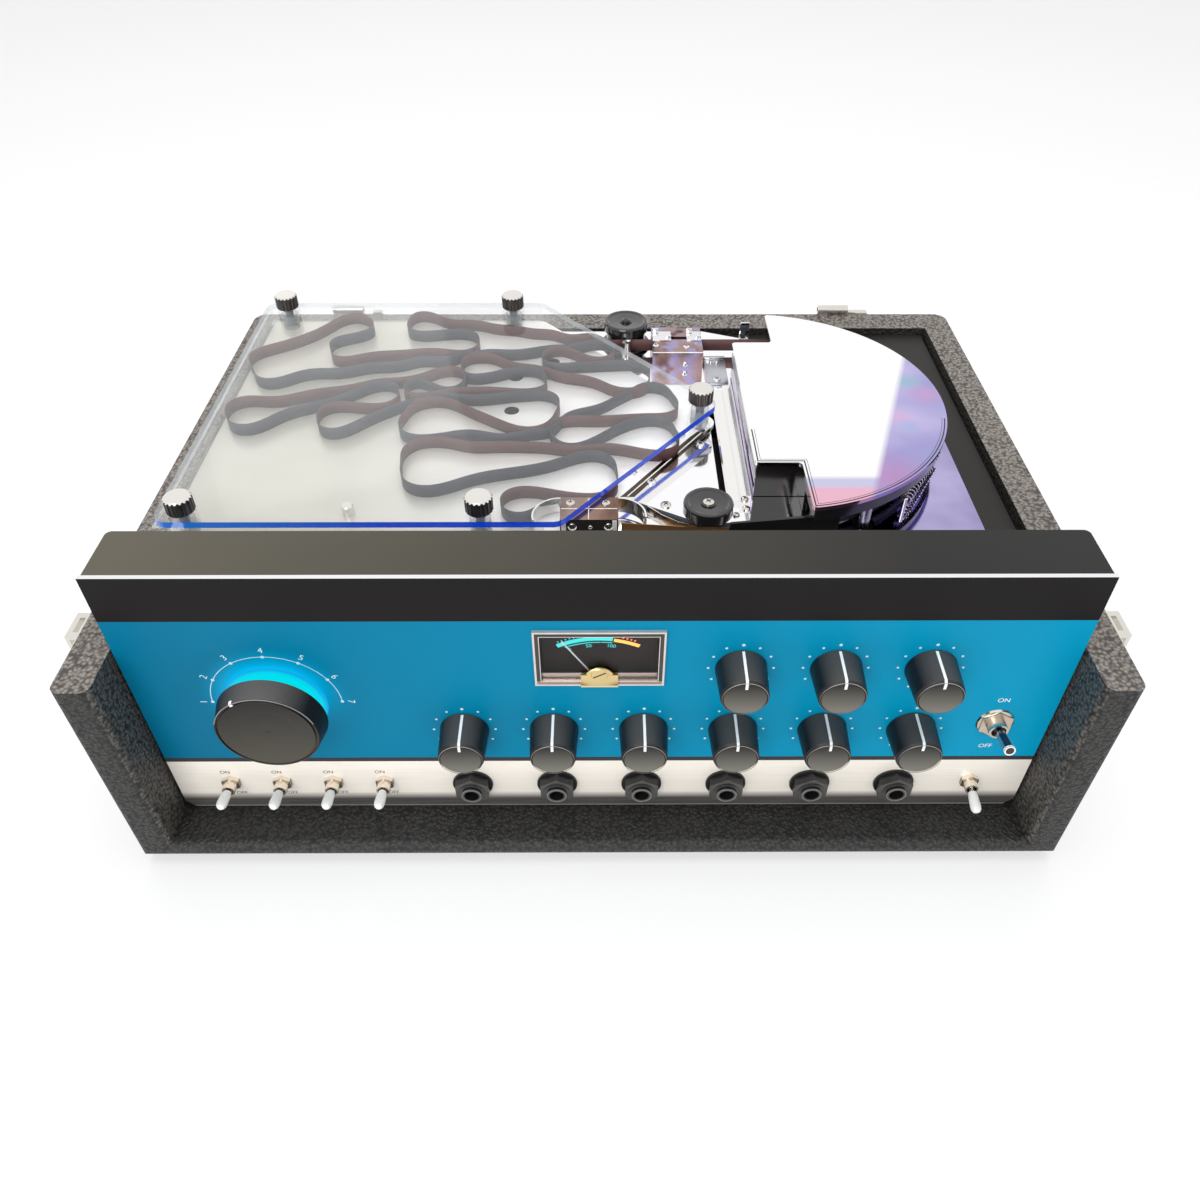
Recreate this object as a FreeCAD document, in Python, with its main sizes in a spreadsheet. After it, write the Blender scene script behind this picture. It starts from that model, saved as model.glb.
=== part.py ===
import FreeCAD, Part
import math
import os
from types import SimpleNamespace

import Sketcher

# Tape echo unit: a covered wooden case with its lid taken off. A front panel with knobs, a meter and
# jacks stands in front of a transport deck on which one endless tape wanders through a clear tray, past
# two rollers and round the heads. Lengths in millimetres, +X right, +Y back, +Z up, origin at the
# middle of the underside of the feet.

SIZES = {
    # case
    "case_width": 415.0, "case_depth": 302.3, "case_height": 112.1, "side_wall": 15.3,
    "rear_wall": 17.7, "bottom_board": 8.5, "case_corner": 7.0, "case_edge": 4.0,
    "foot_height": 6.0, "foot_radius": 9.0, "foot_inset": 28.0,
    "catch_width": 14.0, "catch_reach": 6.5, "catch_sheet": 1.5, "catch_drop": 24.0, "catch_back": 38.0,
    "hinge_proud": 3.7, "hinge_width": 30.0, "hinge_centre": 146.0, "hinge_leaf": 26.0,
    "hinge_pin": 5.0, "hinge_sheet": 1.6,
    # panel, visor and chassis
    "panel_setback": 21.5, "panel_sheet": 2.0, "panel_side_gap": 1.2, "panel_floor_gap": 0.4,
    "panel_corner": 4.0, "visor_rise": 38.5, "visor_depth": 25.5, "visor_sheet": 1.5,
    "visor_corner": 2.5, "chassis_drop": 4.0, "chassis_sheet": 1.5,
    "chassis_side_gap": 2.2, "chassis_lip": 12.0, "chassis_rear_gap": 0.6,
    # controls
    "control_pitch": 38.0, "first_control": 57.5, "upper_first": 56.5, "jack_height": 17.6,
    "knob_radius": 10.4, "knob_front_radius": 9.6, "knob_length": 16.5, "knob_gap": 0.6,
    "shaft_radius": 3.0, "shaft_fit": 0.05, "bushing_radius": 4.4, "panel_hole_gap": 0.2,
    "pot_radius": 8.2, "pot_depth": 9.0, "shaft_reach": 7.0, "terminal_drop": 7.0,
    "mode_inset": 58.1, "mode_height": 73.4, "mode_front_radius": 20.65, "mode_rim_radius": 22.2,
    "mode_length": 9.0, "mode_standoff": 8.0, "mode_hub_radius": 9.0, "mode_dish": 1.6,
    "mode_lip": 0.65, "mode_groove": 1.0, "mode_groove_depth": 0.7,
    "glow_radius": 20.6, "glow_bore": 17.4, "glow_sheet": 1.0,
    "meter_height": 100.0, "meter_width": 52.0, "meter_tall": 30.4, "meter_proud": 1.5,
    "meter_border": 1.6, "meter_body_depth": 22.0, "meter_wall": 1.0, "meter_drop": 8.0,
    "meter_pivot_drop": 19.6, "pane_sheet": 1.0, "pane_recess": 0.6,
    "boss_radius": 6.0, "boss_foot": 15.0, "boss_proud": 0.8, "boss_rise": 3.6,
    "needle_length": 28.4, "needle_pin": 0.9, "needle_tilt": 32.3, "needle_air": 0.6,
    "jack_bore": 3.3, "jack_bush_radius": 4.4, "jack_proud": 7.3, "jack_nut_radius": 8.4,
    "jack_nut": 4.2, "jack_collar_radius": 5.7, "jack_collar": 0.4, "jack_washer_radius": 9.0,
    "jack_washer": 1.0, "jack_body": 9.0, "jack_body_depth": 22.0, "jack_hole_depth": 26.0,
    "toggle_pitch": 23.0, "toggle_inset": 25.0, "toggle_height": 19.1, "bat_radius": 1.2,
    "bat_tip_radius": 1.9, "bat_length": 11.0, "bat_tilt": 12.0, "toggle_bush_radius": 3.0,
    "toggle_bush": 5.5, "toggle_socket_radius": 2.3, "toggle_ball_radius": 1.9, "toggle_nut": 1.8,
    "toggle_nut_radius": 4.4, "toggle_body": 6.0, "toggle_body_depth": 11.0,
    "toggle_pin_radius": 0.6, "toggle_pin_air": 0.2,
    "output_inset": 24.5, "power_inset": 23.5, "power_height": 59.6,
    "power_ring_radius": 7.5, "power_lever_scale": 1.35, "power_bat_radius": 2.4, "power_bat_length": 15.4,
    "power_neck_radius": 1.6, "power_shoulder": 0.8, "power_bat_wall": 0.8,
    # deck and tray
    "deck_rise": 12.5, "deck_sheet": 2.0, "deck_half": 168.0, "deck_front": 27.5, "deck_rear": 20.0,
    "deck_cut_x": 58.0, "deck_cut_back": 20.0, "deck_cut_end": 58.0, "deck_cut_front": 8.0,
    "deck_slot_x": 56.0, "deck_slot_width": 3.0,
    "deck_slot_length": 67.0, "deck_slot_front": 91.5, "deck_stud": 5.0,
    "tray_sheet": 2.0, "tray_depth": 8.0, "cover_sheet": 3.0, "tray_side_gap": 4.2,
    "tray_rear_gap": 10.6, "tray_front": 54.0, "cover_nose_x": -16.5, "cover_tip_x": 58.5,
    "cover_tip_back": 146.5, "cover_tail_x": -33.0, "cover_corner": 7.0, "tray_wall": 1.5,
    "post_radius": 4.6, "screw_stem": 2.0, "screw_head_radius": 6.0, "screw_head": 7.5,
    "screw_collar": 1.0, "screw_fit": 0.05, "screw_hole_gap": 0.3, "screw_inset": 7.0,
    "screw_foot_gap": 1.5, "hole_radius": 3.8, "hole_x": 143.4, "hole_front": 103.1, "hole_step": 32.2,
    "hole_side": 18.9, "hole_rear": 151.4,
    # transport
    "tape_width": 6.35, "tape_sheet": 0.28, "tape_lift": 0.5, "back_run": 45.6, "front_run": 62.5,
    "head_centre_x": 78.0, "roller_x": 46.5, "roller_back": 3.0, "roller_tape_radius": 8.2,
    "roller_cap_radius": 10.75, "rear_roller_x": 14.0, "rear_tape_radius": 11.0,
    "rear_flange_radius": 13.0, "rear_cap_radius": 11.9, "spindle_radius": 2.0, "spindle_fit": 0.05,
    "flange": 1.6, "roller_air": 0.3, "cap_rise": 4.0, "cap_edge": 0.9, "cap_dish": 0.5, "cap_screw": 3.2,
    "plate_overhang": 8.3, "plate_sheet": 2.0, "plate_rise": 19.5, "plate_left": 9.5,
    "plate_notch": 11.0, "notch_front": 52.7, "notch_rear": 54.5, "skirt_sheet": 2.0,
    "skirt_inset": 1.0, "skirt_band": 6.0, "bridge_sheet": 2.0, "bridge_inset": 12.0,
    "head_length": 12.0, "head_back": 10.0, "head_tall": 12.0, "head_air": 0.2,
    "capstan_radius": 2.5, "capstan_angle": -62.0, "capstan_air": 0.35, "capstan_rise": 1.2,
    "flywheel_radius": 36.0, "flywheel_sheet": 10.0, "flywheel_gap": 6.0, "bearing_radius": 5.0,
    "pinch_radius": 9.0, "pinch_air": 0.35, "arm_inset": 15.85, "arm_angle": -35.83, "arm_width": 8.0,
    "arm_sheet": 2.5, "spring_radius": 2.2, "spring_wire": 1.1, "spring_gap": 6.5,
    "spring_start": -47.0, "spring_end": -16.0, "spring_lift": 4.5,
    "block_x": -17.0, "block_length": 25.0, "block_width": 15.6, "block_front": 3.0, "block_gap": 0.2,
    "shoe_radius": 12.2, "shoe_sheet": 0.8, "shoe_left_sweep": 108.0, "shoe_right_sweep": 97.0,
    "exit_fold_side": 18.0, "exit_fold_back": 14.5, "exit_fold_radius": 8.0,
    "rear_block_length": 27.0, "rear_block_width": 28.0, "rear_block_front": 16.0, "guide_slot": 3.1,
    "rail_width": 4.4, "rail_gap": 1.0, "rail_strip": 5.2, "rail_over": 4.8, "rail_short": 18.0,
    "shield_x": 55.5, "shield_front": 7.4, "shield_length": 47.4, "shield_sheet": 1.2, "shield_turn": 6.9,
    "shield_air": 0.5,
    "post_thin": 2.2, "channel_start": 0.34, "channel_end": 0.84, "channel_across": 7.0, "channel_out": 5.7,
    "motor_radius": 22.0, "motor_length": 42.0, "motor_x": 52.0, "motor_back": 165.0,
    "pulley_radius": 8.0, "belt_sheet": 1.2, "belt_air": 0.3,
    # hidden pieces
    "board_sheet": 1.6, "board_length": 190.0, "board_width": 110.0, "board_x": -70.0,
    "board_back": 90.0, "board_stand": 8.0, "transformer_size": 58.0, "transformer_x": 120.0,
    "transformer_back": 190.0, "tank_length": 235.0, "tank_width": 34.0, "tank_tall": 30.0,
    "tank_side_gap": 14.7, "tank_rear_gap": 14.1,
    "inlet_width": 28.0, "inlet_tall": 20.0, "inlet_depth": 18.0, "inlet_x": 150.0,
    "inlet_height": 36.0, "inlet_flange": 3.0, "inlet_wall": 2.5,
    "inlet_bezel": 2.0,
}

# Folds of the loose tape in the tray, after the one at the front exit and round to the rear exit: across and
# back (mm from the case middle and from its front edge), radius and side of the turn (+1 turns left).
# They fill the span below, and stretch with the tray when it has another one.
FOLD_LEFT, FOLD_RIGHT = -188.0, 58.5
FOLD_FRONT, FOLD_BACK = 75.5, 274.0
FOLDS = (
    (-6.0, 116.5, 14.0, 1), (-75.0, 126.5, 16.5, -1), (24.0, 149.5, 12.5, 1),
    (-14.0, 151.5, 9.5, -1), (25.0, 179.0, 12.5, 1), (-42.0, 175.0, 25.0, -1), (-82.0, 164.0, 14.5, -1),
    (-36.0, 171.0, 14.5, 1), (-82.0, 164.0, 18.5, 1), (-129.0, 165.5, 9.5, -1), (-110.0, 185.5, 8.5, 1),
    (-174.0, 168.5, 9.5, -1), (-78.0, 199.5, 8.0, -1), (-94.0, 193.0, 5.5, 1), (-37.0, 200.0, 9.0, 1),
    (-64.0, 214.0, 9.0, -1), (14.0, 203.5, 11.5, 1), (-23.0, 224.0, 7.5, -1), (1.0, 229.0, 6.5, 1),
    (-64.0, 214.0, 12.5, 1), (-168.0, 219.0, 16.0, -1), (-137.0, 258.5, 9.0, -1), (-136.0, 234.0, 10.0, 1),
    (-74.0, 239.5, 8.0, 1), (-100.0, 260.0, 8.0, -1),
)

HEAD_ANGLES = (56.0, 30.0, 4.0, -22.0)


class Size:
    """A length or an angle: the sheet expression that gives it and its present value."""

    def __init__(self, text, value):
        self.text = text
        self.value = value

    @staticmethod
    def of(other):
        return other if isinstance(other, Size) else Size(repr(float(other)), float(other))

    def combine(self, other, sign, value):
        return Size(f"({self.text} {sign} {Size.of(other).text})", value)

    def __add__(self, other):
        return self.combine(other, "+", self.value + Size.of(other).value)

    def __sub__(self, other):
        return self.combine(other, "-", self.value - Size.of(other).value)

    def __mul__(self, other):
        return self.combine(other, "*", self.value * Size.of(other).value)

    def __truediv__(self, other):
        return self.combine(other, "/", self.value / Size.of(other).value)

    def __radd__(self, other):
        return Size.of(other) + self

    def __rsub__(self, other):
        return Size.of(other) - self

    def __rmul__(self, other):
        return Size.of(other) * self

    def __neg__(self):
        return Size.of(0) - self

    def cos(self):
        return Size(f"cos({self.text} * 1 deg)", math.cos(math.radians(self.value)))

    def sin(self):
        return Size(f"sin({self.text} * 1 deg)", math.sin(math.radians(self.value)))

    def hypot(self, other):
        return Size(f"hypot({self.text}; {other.text})", math.hypot(self.value, other.value))


doc = FreeCAD.newDocument("TapeEcho")
NODES = []


def make_sheet():
    """Write the driving sizes to the sheet and hand them back as named Sizes."""
    sheet = doc.addObject("Spreadsheet::Sheet", "Sizes")
    for row, (alias, value) in enumerate(SIZES.items(), start=1):
        sheet.set(f"A{row}", alias)
        sheet.set(f"B{row}", str(value))
        sheet.setAlias(f"B{row}", alias)
    doc.recompute()
    return SimpleNamespace(**{a: Size(f"Sizes.{a}", float(sheet.get(a))) for a in SIZES})


s = make_sheet()


# ---------------------------------------------------------------- shared levels and planes
front = -(s.case_depth + s.hinge_proud) / 2
rear_face = front + s.case_depth - s.rear_wall
inner_half = s.case_width / 2 - s.side_wall
rim = s.foot_height + s.case_height
floor_top = s.foot_height + s.bottom_board
panel_front = front + s.panel_setback
panel_back = panel_front + s.panel_sheet
panel_half = inner_half - s.panel_side_gap
panel_low = floor_top + s.panel_floor_gap
visor_top = rim + s.visor_rise
visor_rear = panel_back + s.visor_depth
chassis_top = rim - s.chassis_drop
chassis_under = chassis_top - s.chassis_sheet
chassis_half = inner_half - s.chassis_side_gap
chassis_rear = rear_face - s.chassis_rear_gap
deck_top = chassis_top + s.deck_rise
deck_under = deck_top - s.deck_sheet
tray_base = deck_top + s.tray_sheet
cover_low = tray_base + s.tray_depth
cover_top = cover_low + s.cover_sheet
tray_left = -(inner_half - s.tray_side_gap)
tray_rear = rear_face - s.tray_rear_gap
tray_front = panel_front + s.tray_front
tip_y = panel_front + s.cover_tip_back
tape_low = tray_base + s.tape_lift
tape_high = tape_low + s.tape_width
jack_z = floor_top + s.jack_height
lower_z = jack_z + s.control_pitch
upper_z = lower_z + s.control_pitch
back_y = rear_face - s.back_run
front_y = panel_front + s.front_run
head_radius = (back_y - front_y) / 2
head_y = (back_y + front_y) / 2
plate_low = deck_top + s.plate_rise - s.plate_sheet
mode_x = -(panel_half - s.mode_inset)
mode_z = panel_low + s.mode_height
meter_z = floor_top + s.meter_height
power_x = panel_half - s.power_inset
power_z = floor_top + s.power_height
output_x = panel_half - s.output_inset
toggle_z = floor_top + s.toggle_height


def polar(radius, angle):
    """Place on a circle about the middle of the head arc."""
    return s.head_centre_x + radius * angle.cos(), head_y + radius * angle.sin()


lower_x = [-s.first_control + i * s.control_pitch for i in range(6)]
upper_x = [s.upper_first + i * s.control_pitch for i in range(3)]
knob_places = [(x, upper_z) for x in upper_x] + [(x, lower_z) for x in lower_x]
mini_x = [-(panel_half - s.toggle_inset) + i * s.toggle_pitch for i in range(4)]
mini_places = [(x, toggle_z) for x in mini_x]
capstan_x, capstan_y = polar(head_radius + s.tape_sheet / 2 + s.capstan_air + s.capstan_radius,
                             s.capstan_angle)
pinch_x, pinch_y = polar(head_radius - s.tape_sheet / 2 - s.pinch_air - s.pinch_radius, s.capstan_angle)
arm_x, arm_y = polar(head_radius - s.arm_inset, s.arm_angle)
spring_reach = head_radius + s.spring_gap
motor_y = panel_front + s.motor_back
roller_y = front_y + s.roller_back
rear_roller_y = back_y + s.rear_tape_radius
block_y = front_y - s.block_front
shoe_y = block_y + s.block_width - s.shoe_radius
tray_holes = [
    (tray_left + s.hole_x, tray_front + s.hole_front),
    (tray_left + s.hole_x, tray_front + s.hole_front + s.hole_step),
    (tray_left + s.hole_x + s.hole_side, tray_front + s.hole_rear),
]
screw_places = [
    (tray_left + s.screw_inset + 5.5, tray_rear - s.screw_inset),
    (s.cover_tail_x - s.screw_inset * 2.3, tray_rear - s.screw_inset),
    (s.cover_tip_x - s.screw_inset * 1.35, tip_y),
    (s.cover_nose_x - s.screw_inset * 4.9, tray_front + s.screw_inset),
    (tray_left + s.screw_inset + 4.5, tray_front + s.screw_inset),
]


# ---------------------------------------------------------------- building blocks
def place(item, x=0, y=0, z=0, turn=None):
    """Bind an object's place, with an optional (axis, degrees) rotation."""
    if turn is not None:
        rotation = FreeCAD.Rotation(FreeCAD.Vector(*turn[0]), turn[1])
        item.Placement = FreeCAD.Placement(FreeCAD.Vector(), rotation)
    for axis, size in zip("xyz", (x, y, z)):
        item.setExpression(f"Placement.Base.{axis}", Size.of(size).text)
    return item


def bound(kind, name, **sizes):
    item = doc.addObject(kind, name)
    for prop, size in sizes.items():
        item.setExpression(prop, Size.of(size).text)
    return item


def box(name, x, y, z, length, width, height):
    return place(bound("Part::Box", name, Length=length, Width=width, Height=height), x, y, z)


TURNS = {"Z": None, "Y": ((1, 0, 0), -90), "X": ((0, 1, 0), 90)}


def rod(name, axis, x, y, z, radius, length):
    return place(bound("Part::Cylinder", name, Radius=radius, Height=length), x, y, z, TURNS[axis])


def taper(name, axis, x, y, z, radius, end_radius, length):
    item = bound("Part::Cone", name, Radius1=radius, Radius2=end_radius, Height=length)
    return place(item, x, y, z, TURNS[axis])


def hexagon(name, x, y, z, radius, length):
    """Six-sided nut along Y with upright flats at its left and right."""
    item = bound("Part::Prism", name, Circumradius=radius, Height=length)
    item.Polygon = 6
    twist = FreeCAD.Rotation(FreeCAD.Vector(1, 0, 0), -90) * FreeCAD.Rotation(FreeCAD.Vector(0, 0, 1), 30)
    item.Placement = FreeCAD.Placement(FreeCAD.Vector(), twist)
    return place(item, x, y, z)


def arc_wall(name, x, y, z, radius, sheet, start, sweep, height):
    """Upright sheet bent round a centre, from a start angle over a sweep."""
    outer = bound("Part::Cylinder", f"{name}_outer", Radius=radius, Height=height, Angle=sweep)
    place(outer, x, y, z, ((0, 0, 1), start))
    inner = rod(f"{name}_inner", "Z", x, y, z - sheet, radius - sheet, height + sheet * 2)
    return cut(name, outer, inner)


def fuse(name, *parts):
    item = doc.addObject("Part::MultiFuse", name)
    item.Shapes = list(parts)
    item.Refine = True
    return item


def cut(name, base, *tools):
    item = doc.addObject("Part::Cut", name)
    item.Base = base
    item.Tool = tools[0] if len(tools) == 1 else fuse(f"{name}_tools", *tools)
    item.Refine = True
    return item


def group(name, parts):
    item = doc.addObject("Part::Compound", name)
    item.Links = list(parts)
    return item


def node(item, label):
    """Name a finished sub-part, which becomes a file of the same name."""
    item.Label = label
    NODES.append(item)
    return item


def new_body(name):
    return doc.addObject("PartDesign::Body", name)


def new_sketch(body, role, offset=0):
    plane = next(f for f in body.Origin.OriginFeatures if f.Role == role)
    sketch = body.newObject("Sketcher::SketchObject", f"{body.Name}_sketch")
    sketch.AttachmentSupport = (plane, [""])
    sketch.MapMode = "FlatFace"
    sketch.setExpression("AttachmentOffset.Base.z", Size.of(offset).text)
    return sketch


def fix(sketch, constraints):
    """Add constraints, each with the Size that drives it or None."""
    numbers = sketch.addConstraint([c for c, _ in constraints])
    for number, (_, size) in zip(numbers, constraints):
        if size is not None:
            sketch.setExpression(f"Constraints[{number}]", size.text)


def point_at(geometry, point, x, y):
    place_x = Sketcher.Constraint("DistanceX", -1, 1, geometry, point, x.value)
    place_y = Sketcher.Constraint("DistanceY", -1, 1, geometry, point, y.value)
    return [(place_x, x), (place_y, y)]


def polygon(sketch, points):
    points = [(Size.of(x), Size.of(y)) for x, y in points]
    corners = [FreeCAD.Vector(x.value, y.value, 0) for x, y in points]
    first = sketch.GeometryCount
    total = len(points)
    sketch.addGeometry([Part.LineSegment(corners[i], corners[(i + 1) % total]) for i in range(total)])
    rules = []
    for i, (x, y) in enumerate(points):
        joined = Sketcher.Constraint("Coincident", first + i, 2, first + (i + 1) % total, 1)
        rules += [(joined, None)] + point_at(first + i, 1, x, y)
    fix(sketch, rules)


def rectangle(sketch, x0, y0, x1, y1):
    polygon(sketch, [(x0, y0), (x1, y0), (x1, y1), (x0, y1)])


def circle(sketch, x, y, radius):
    x, y, radius = Size.of(x), Size.of(y), Size.of(radius)
    disc = Part.Circle(FreeCAD.Vector(x.value, y.value, 0), FreeCAD.Vector(0, 0, 1), radius.value)
    number = sketch.addGeometry(disc)
    rules = point_at(number, 3, x, y)
    rules.append((Sketcher.Constraint("Radius", number, radius.value), radius))
    fix(sketch, rules)


def pad(body, sketch, length, reverse=False):
    item = body.newObject("PartDesign::Pad", f"{body.Name}_pad")
    item.Profile = sketch
    item.Reversed = reverse
    item.setExpression("Length", Size.of(length).text)
    doc.recompute()
    return item


def pocket(body, sketch, depth=None, reverse=False):
    """Cut a sketch out of a body: to a depth, or right through both ways."""
    before = body.Shape.Volume
    item = body.newObject("PartDesign::Pocket", f"{body.Name}_pocket")
    item.Profile = sketch
    item.Reversed = reverse
    if depth is None:
        item.Type = "ThroughAll"
        item.Midplane = True
    else:
        item.setExpression("Length", Size.of(depth).text)
    doc.recompute()
    if body.Shape.Volume >= before - 1e-6:
        raise RuntimeError(f"{item.Name} cuts nothing")
    return item


def spin(body, sketch):
    item = body.newObject("PartDesign::Revolution", f"{body.Name}_spin")
    item.Profile = sketch
    item.ReferenceAxis = (sketch, ["V_Axis"])
    item.Angle = 360
    doc.recompute()
    return item


def dress(body, kind, radius, test):
    """Round or bevel the edges whose middle point and direction pass the test."""
    base = body.Tip
    names = []
    for number, edge in enumerate(base.Shape.Edges, start=1):
        middle = edge.valueAt((edge.FirstParameter + edge.LastParameter) / 2)
        if test(edge, middle):
            names.append(f"Edge{number}")
    if not names:
        raise RuntimeError(f"{body.Name}: no edge to dress")
    item = body.newObject(f"PartDesign::{kind}", f"{body.Name}_{kind.lower()}")
    item.Base = (base, names)
    item.setExpression("Radius" if kind == "Fillet" else "Size", Size.of(radius).text)
    doc.recompute()
    return item


def upright(edge, _middle=None):
    direction = edge.tangentAt(edge.FirstParameter)
    return edge.Curve.TypeId == "Part::GeomLine" and abs(direction.z) > 0.99


def turned(name, axis, profile):
    """Body of revolution from (radius, height) points about its own Y or Z axis."""
    body = new_body(name)
    sketch = new_sketch(body, "XY_Plane" if axis == "Y" else "XZ_Plane")
    polygon(sketch, profile)
    spin(body, sketch)
    return body


def ring_of(body, feature, copies, axis_role="Y_Axis"):
    """Repeat a feature round the body's own axis."""
    axis = next(f for f in body.Origin.OriginFeatures if f.Role == axis_role)
    item = body.newObject("PartDesign::PolarPattern", f"{body.Name}_ring")
    item.Originals = [feature]
    item.Axis = (axis, [""])
    item.Angle = 360
    item.Occurrences = copies
    body.Tip = item
    doc.recompute()
    return item


# ---------------------------------------------------------------- case and its hardware
def case_shell():
    body = new_body("case_body")
    half = s.case_width / 2
    outline = new_sketch(body, "XY_Plane", s.foot_height)
    rectangle(outline, -half, front, half, front + s.case_depth)
    pad(body, outline, s.case_height)

    def outer_corner(edge, middle):
        return upright(edge) and middle.y > 0

    dress(body, "Fillet", s.case_corner, outer_corner)
    hollow = new_sketch(body, "XY_Plane", rim)
    rectangle(hollow, -inner_half, front - s.case_corner, inner_half, rear_face)
    pocket(body, hollow, s.case_height - s.bottom_board)
    inlet = new_sketch(body, "XZ_Plane", -(front + s.case_depth))
    rectangle(inlet, s.inlet_x - s.inlet_width / 2, floor_top + s.inlet_height - s.inlet_tall / 2,
              s.inlet_x + s.inlet_width / 2, floor_top + s.inlet_height + s.inlet_tall / 2)
    pocket(body, inlet, s.rear_wall, reverse=True)

    def front_edge(edge, middle):
        return abs(middle.y - front.value) < 1e-3 and edge.Length > 5 * s.case_corner.value

    dress(body, "Fillet", s.case_edge, front_edge)
    return node(body, "case_shell")


def rubber_feet():
    feet = []
    for i, (sx, sy) in enumerate(((-1, -1), (1, -1), (-1, 1), (1, 1))):
        x = (s.case_width / 2 - s.foot_inset) * sx
        y = front + s.case_depth / 2 + (s.case_depth / 2 - s.foot_inset) * sy
        feet.append(taper(f"foot_{i}", "Z", x, y, 0, s.foot_radius * 0.85, s.foot_radius, s.foot_height))
    return node(group("feet", feet), "rubber_feet")


def latch_catches():
    """Nickel keeper on each side wall: base plate, top shelf with a window, hooked lower tab."""
    sides = []
    top = rim - s.catch_sheet
    for i, side in enumerate((-1, 1)):
        wall = s.case_width / 2 * side
        y = front + s.catch_back

        def from_wall(name, out0, out1, width, z, height):
            low = wall + out0 * side if side > 0 else wall - out1
            return box(f"{name}_{i}", low, y - width / 2, z, out1 - out0, width, height)

        base = from_wall("catch_base", Size.of(0), s.catch_sheet, s.catch_width * 1.6,
                         top - s.catch_drop, s.catch_drop)
        shelf = from_wall("catch_shelf", s.catch_sheet * 0.5, s.catch_reach, s.catch_width,
                          top - s.catch_sheet, s.catch_sheet)
        window = from_wall("catch_window", s.catch_sheet * 1.4, s.catch_sheet * 2.9, s.catch_width * 0.6,
                           top - s.catch_sheet * 2, s.catch_sheet * 3)
        lip = from_wall("catch_lip", s.catch_reach - s.catch_sheet, s.catch_reach, s.catch_width,
                        top - s.catch_reach, s.catch_reach)
        hook = from_wall("catch_hook", s.catch_sheet * 0.5, s.catch_reach * 0.7, s.catch_width * 0.7,
                         top - s.catch_drop * 0.8, s.catch_sheet)
        sides.append(cut(f"catch_{i}", fuse(f"catch_whole_{i}", base, shelf, lip, hook), window))
    return node(group("catches", sides), "latch_catches")


def lid_hinges():
    """Fixed half of each lift-off lid hinge: a leaf on the rear wall and an open knuckle at the rim."""
    halves = []
    back = front + s.case_depth
    axis_y = back + s.hinge_proud - s.hinge_pin / 2
    for i, side in enumerate((-1, 1)):
        x = s.hinge_centre * side - s.hinge_width / 2
        axis_z = rim + s.hinge_pin / 2
        half_width = s.hinge_width * 0.6
        leaf = box(f"leaf_{i}", x, back, rim - s.hinge_leaf, s.hinge_width, s.hinge_sheet, s.hinge_leaf)
        knuckle = rod(f"knuckle_{i}", "X", x, axis_y, axis_z, s.hinge_pin / 2, half_width)
        web = box(f"web_{i}", x, back, rim - s.hinge_pin, half_width, s.hinge_sheet, s.hinge_pin * 1.5)
        bore = rod(f"hinge_bore_{i}", "X", x - 1, axis_y, axis_z, s.hinge_pin / 4, s.hinge_width)
        halves.append(cut(f"hinge_{i}", fuse(f"hinge_whole_{i}", leaf, knuckle, web), bore))
    return node(group("hinges", halves), "lid_hinges")


# ---------------------------------------------------------------- chassis, visor and panel
def chassis():
    body = new_body("chassis_body")
    plate = new_sketch(body, "XY_Plane", chassis_top)
    rectangle(plate, -chassis_half, visor_rear - s.visor_sheet * 2, chassis_half, chassis_rear)
    pad(body, plate, s.chassis_sheet, reverse=True)
    for side in (-1, 1):
        flange = new_sketch(body, "XY_Plane", chassis_top)
        rectangle(flange, chassis_half * side, panel_back, (chassis_half - s.chassis_sheet) * side,
                  chassis_rear)
        pad(body, flange, chassis_top - floor_top, reverse=True)
        lip = new_sketch(body, "XY_Plane", chassis_top)
        rectangle(lip, chassis_half * side, panel_back, (chassis_half - s.chassis_lip) * side,
                  panel_back + s.chassis_sheet)
        pad(body, lip, chassis_top - floor_top, reverse=True)
    holes = new_sketch(body, "XY_Plane", chassis_top)
    circle(holes, capstan_x, capstan_y, s.bearing_radius)
    circle(holes, s.motor_x, motor_y, s.pulley_radius * 1.6)
    pocket(body, holes)
    return node(body, "chassis")


def visor_hood():
    body = new_body("visor_body")
    half = inner_half - s.chassis_side_gap
    outline = new_sketch(body, "XY_Plane", visor_top)
    rectangle(outline, -half, panel_back, half, visor_rear)
    pad(body, outline, visor_top - chassis_top, reverse=True)

    def rear_corner(edge, middle):
        return upright(edge) and middle.y > panel_back.value + 1

    dress(body, "Fillet", s.visor_corner, rear_corner)
    hollow = new_sketch(body, "XY_Plane", chassis_top)
    inner = half - s.visor_sheet
    rectangle(hollow, -inner, panel_back - 1, inner, visor_rear - s.visor_sheet)
    pocket(body, hollow, visor_top - chassis_top - s.visor_sheet, reverse=True)
    return node(body, "visor_hood")


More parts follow.
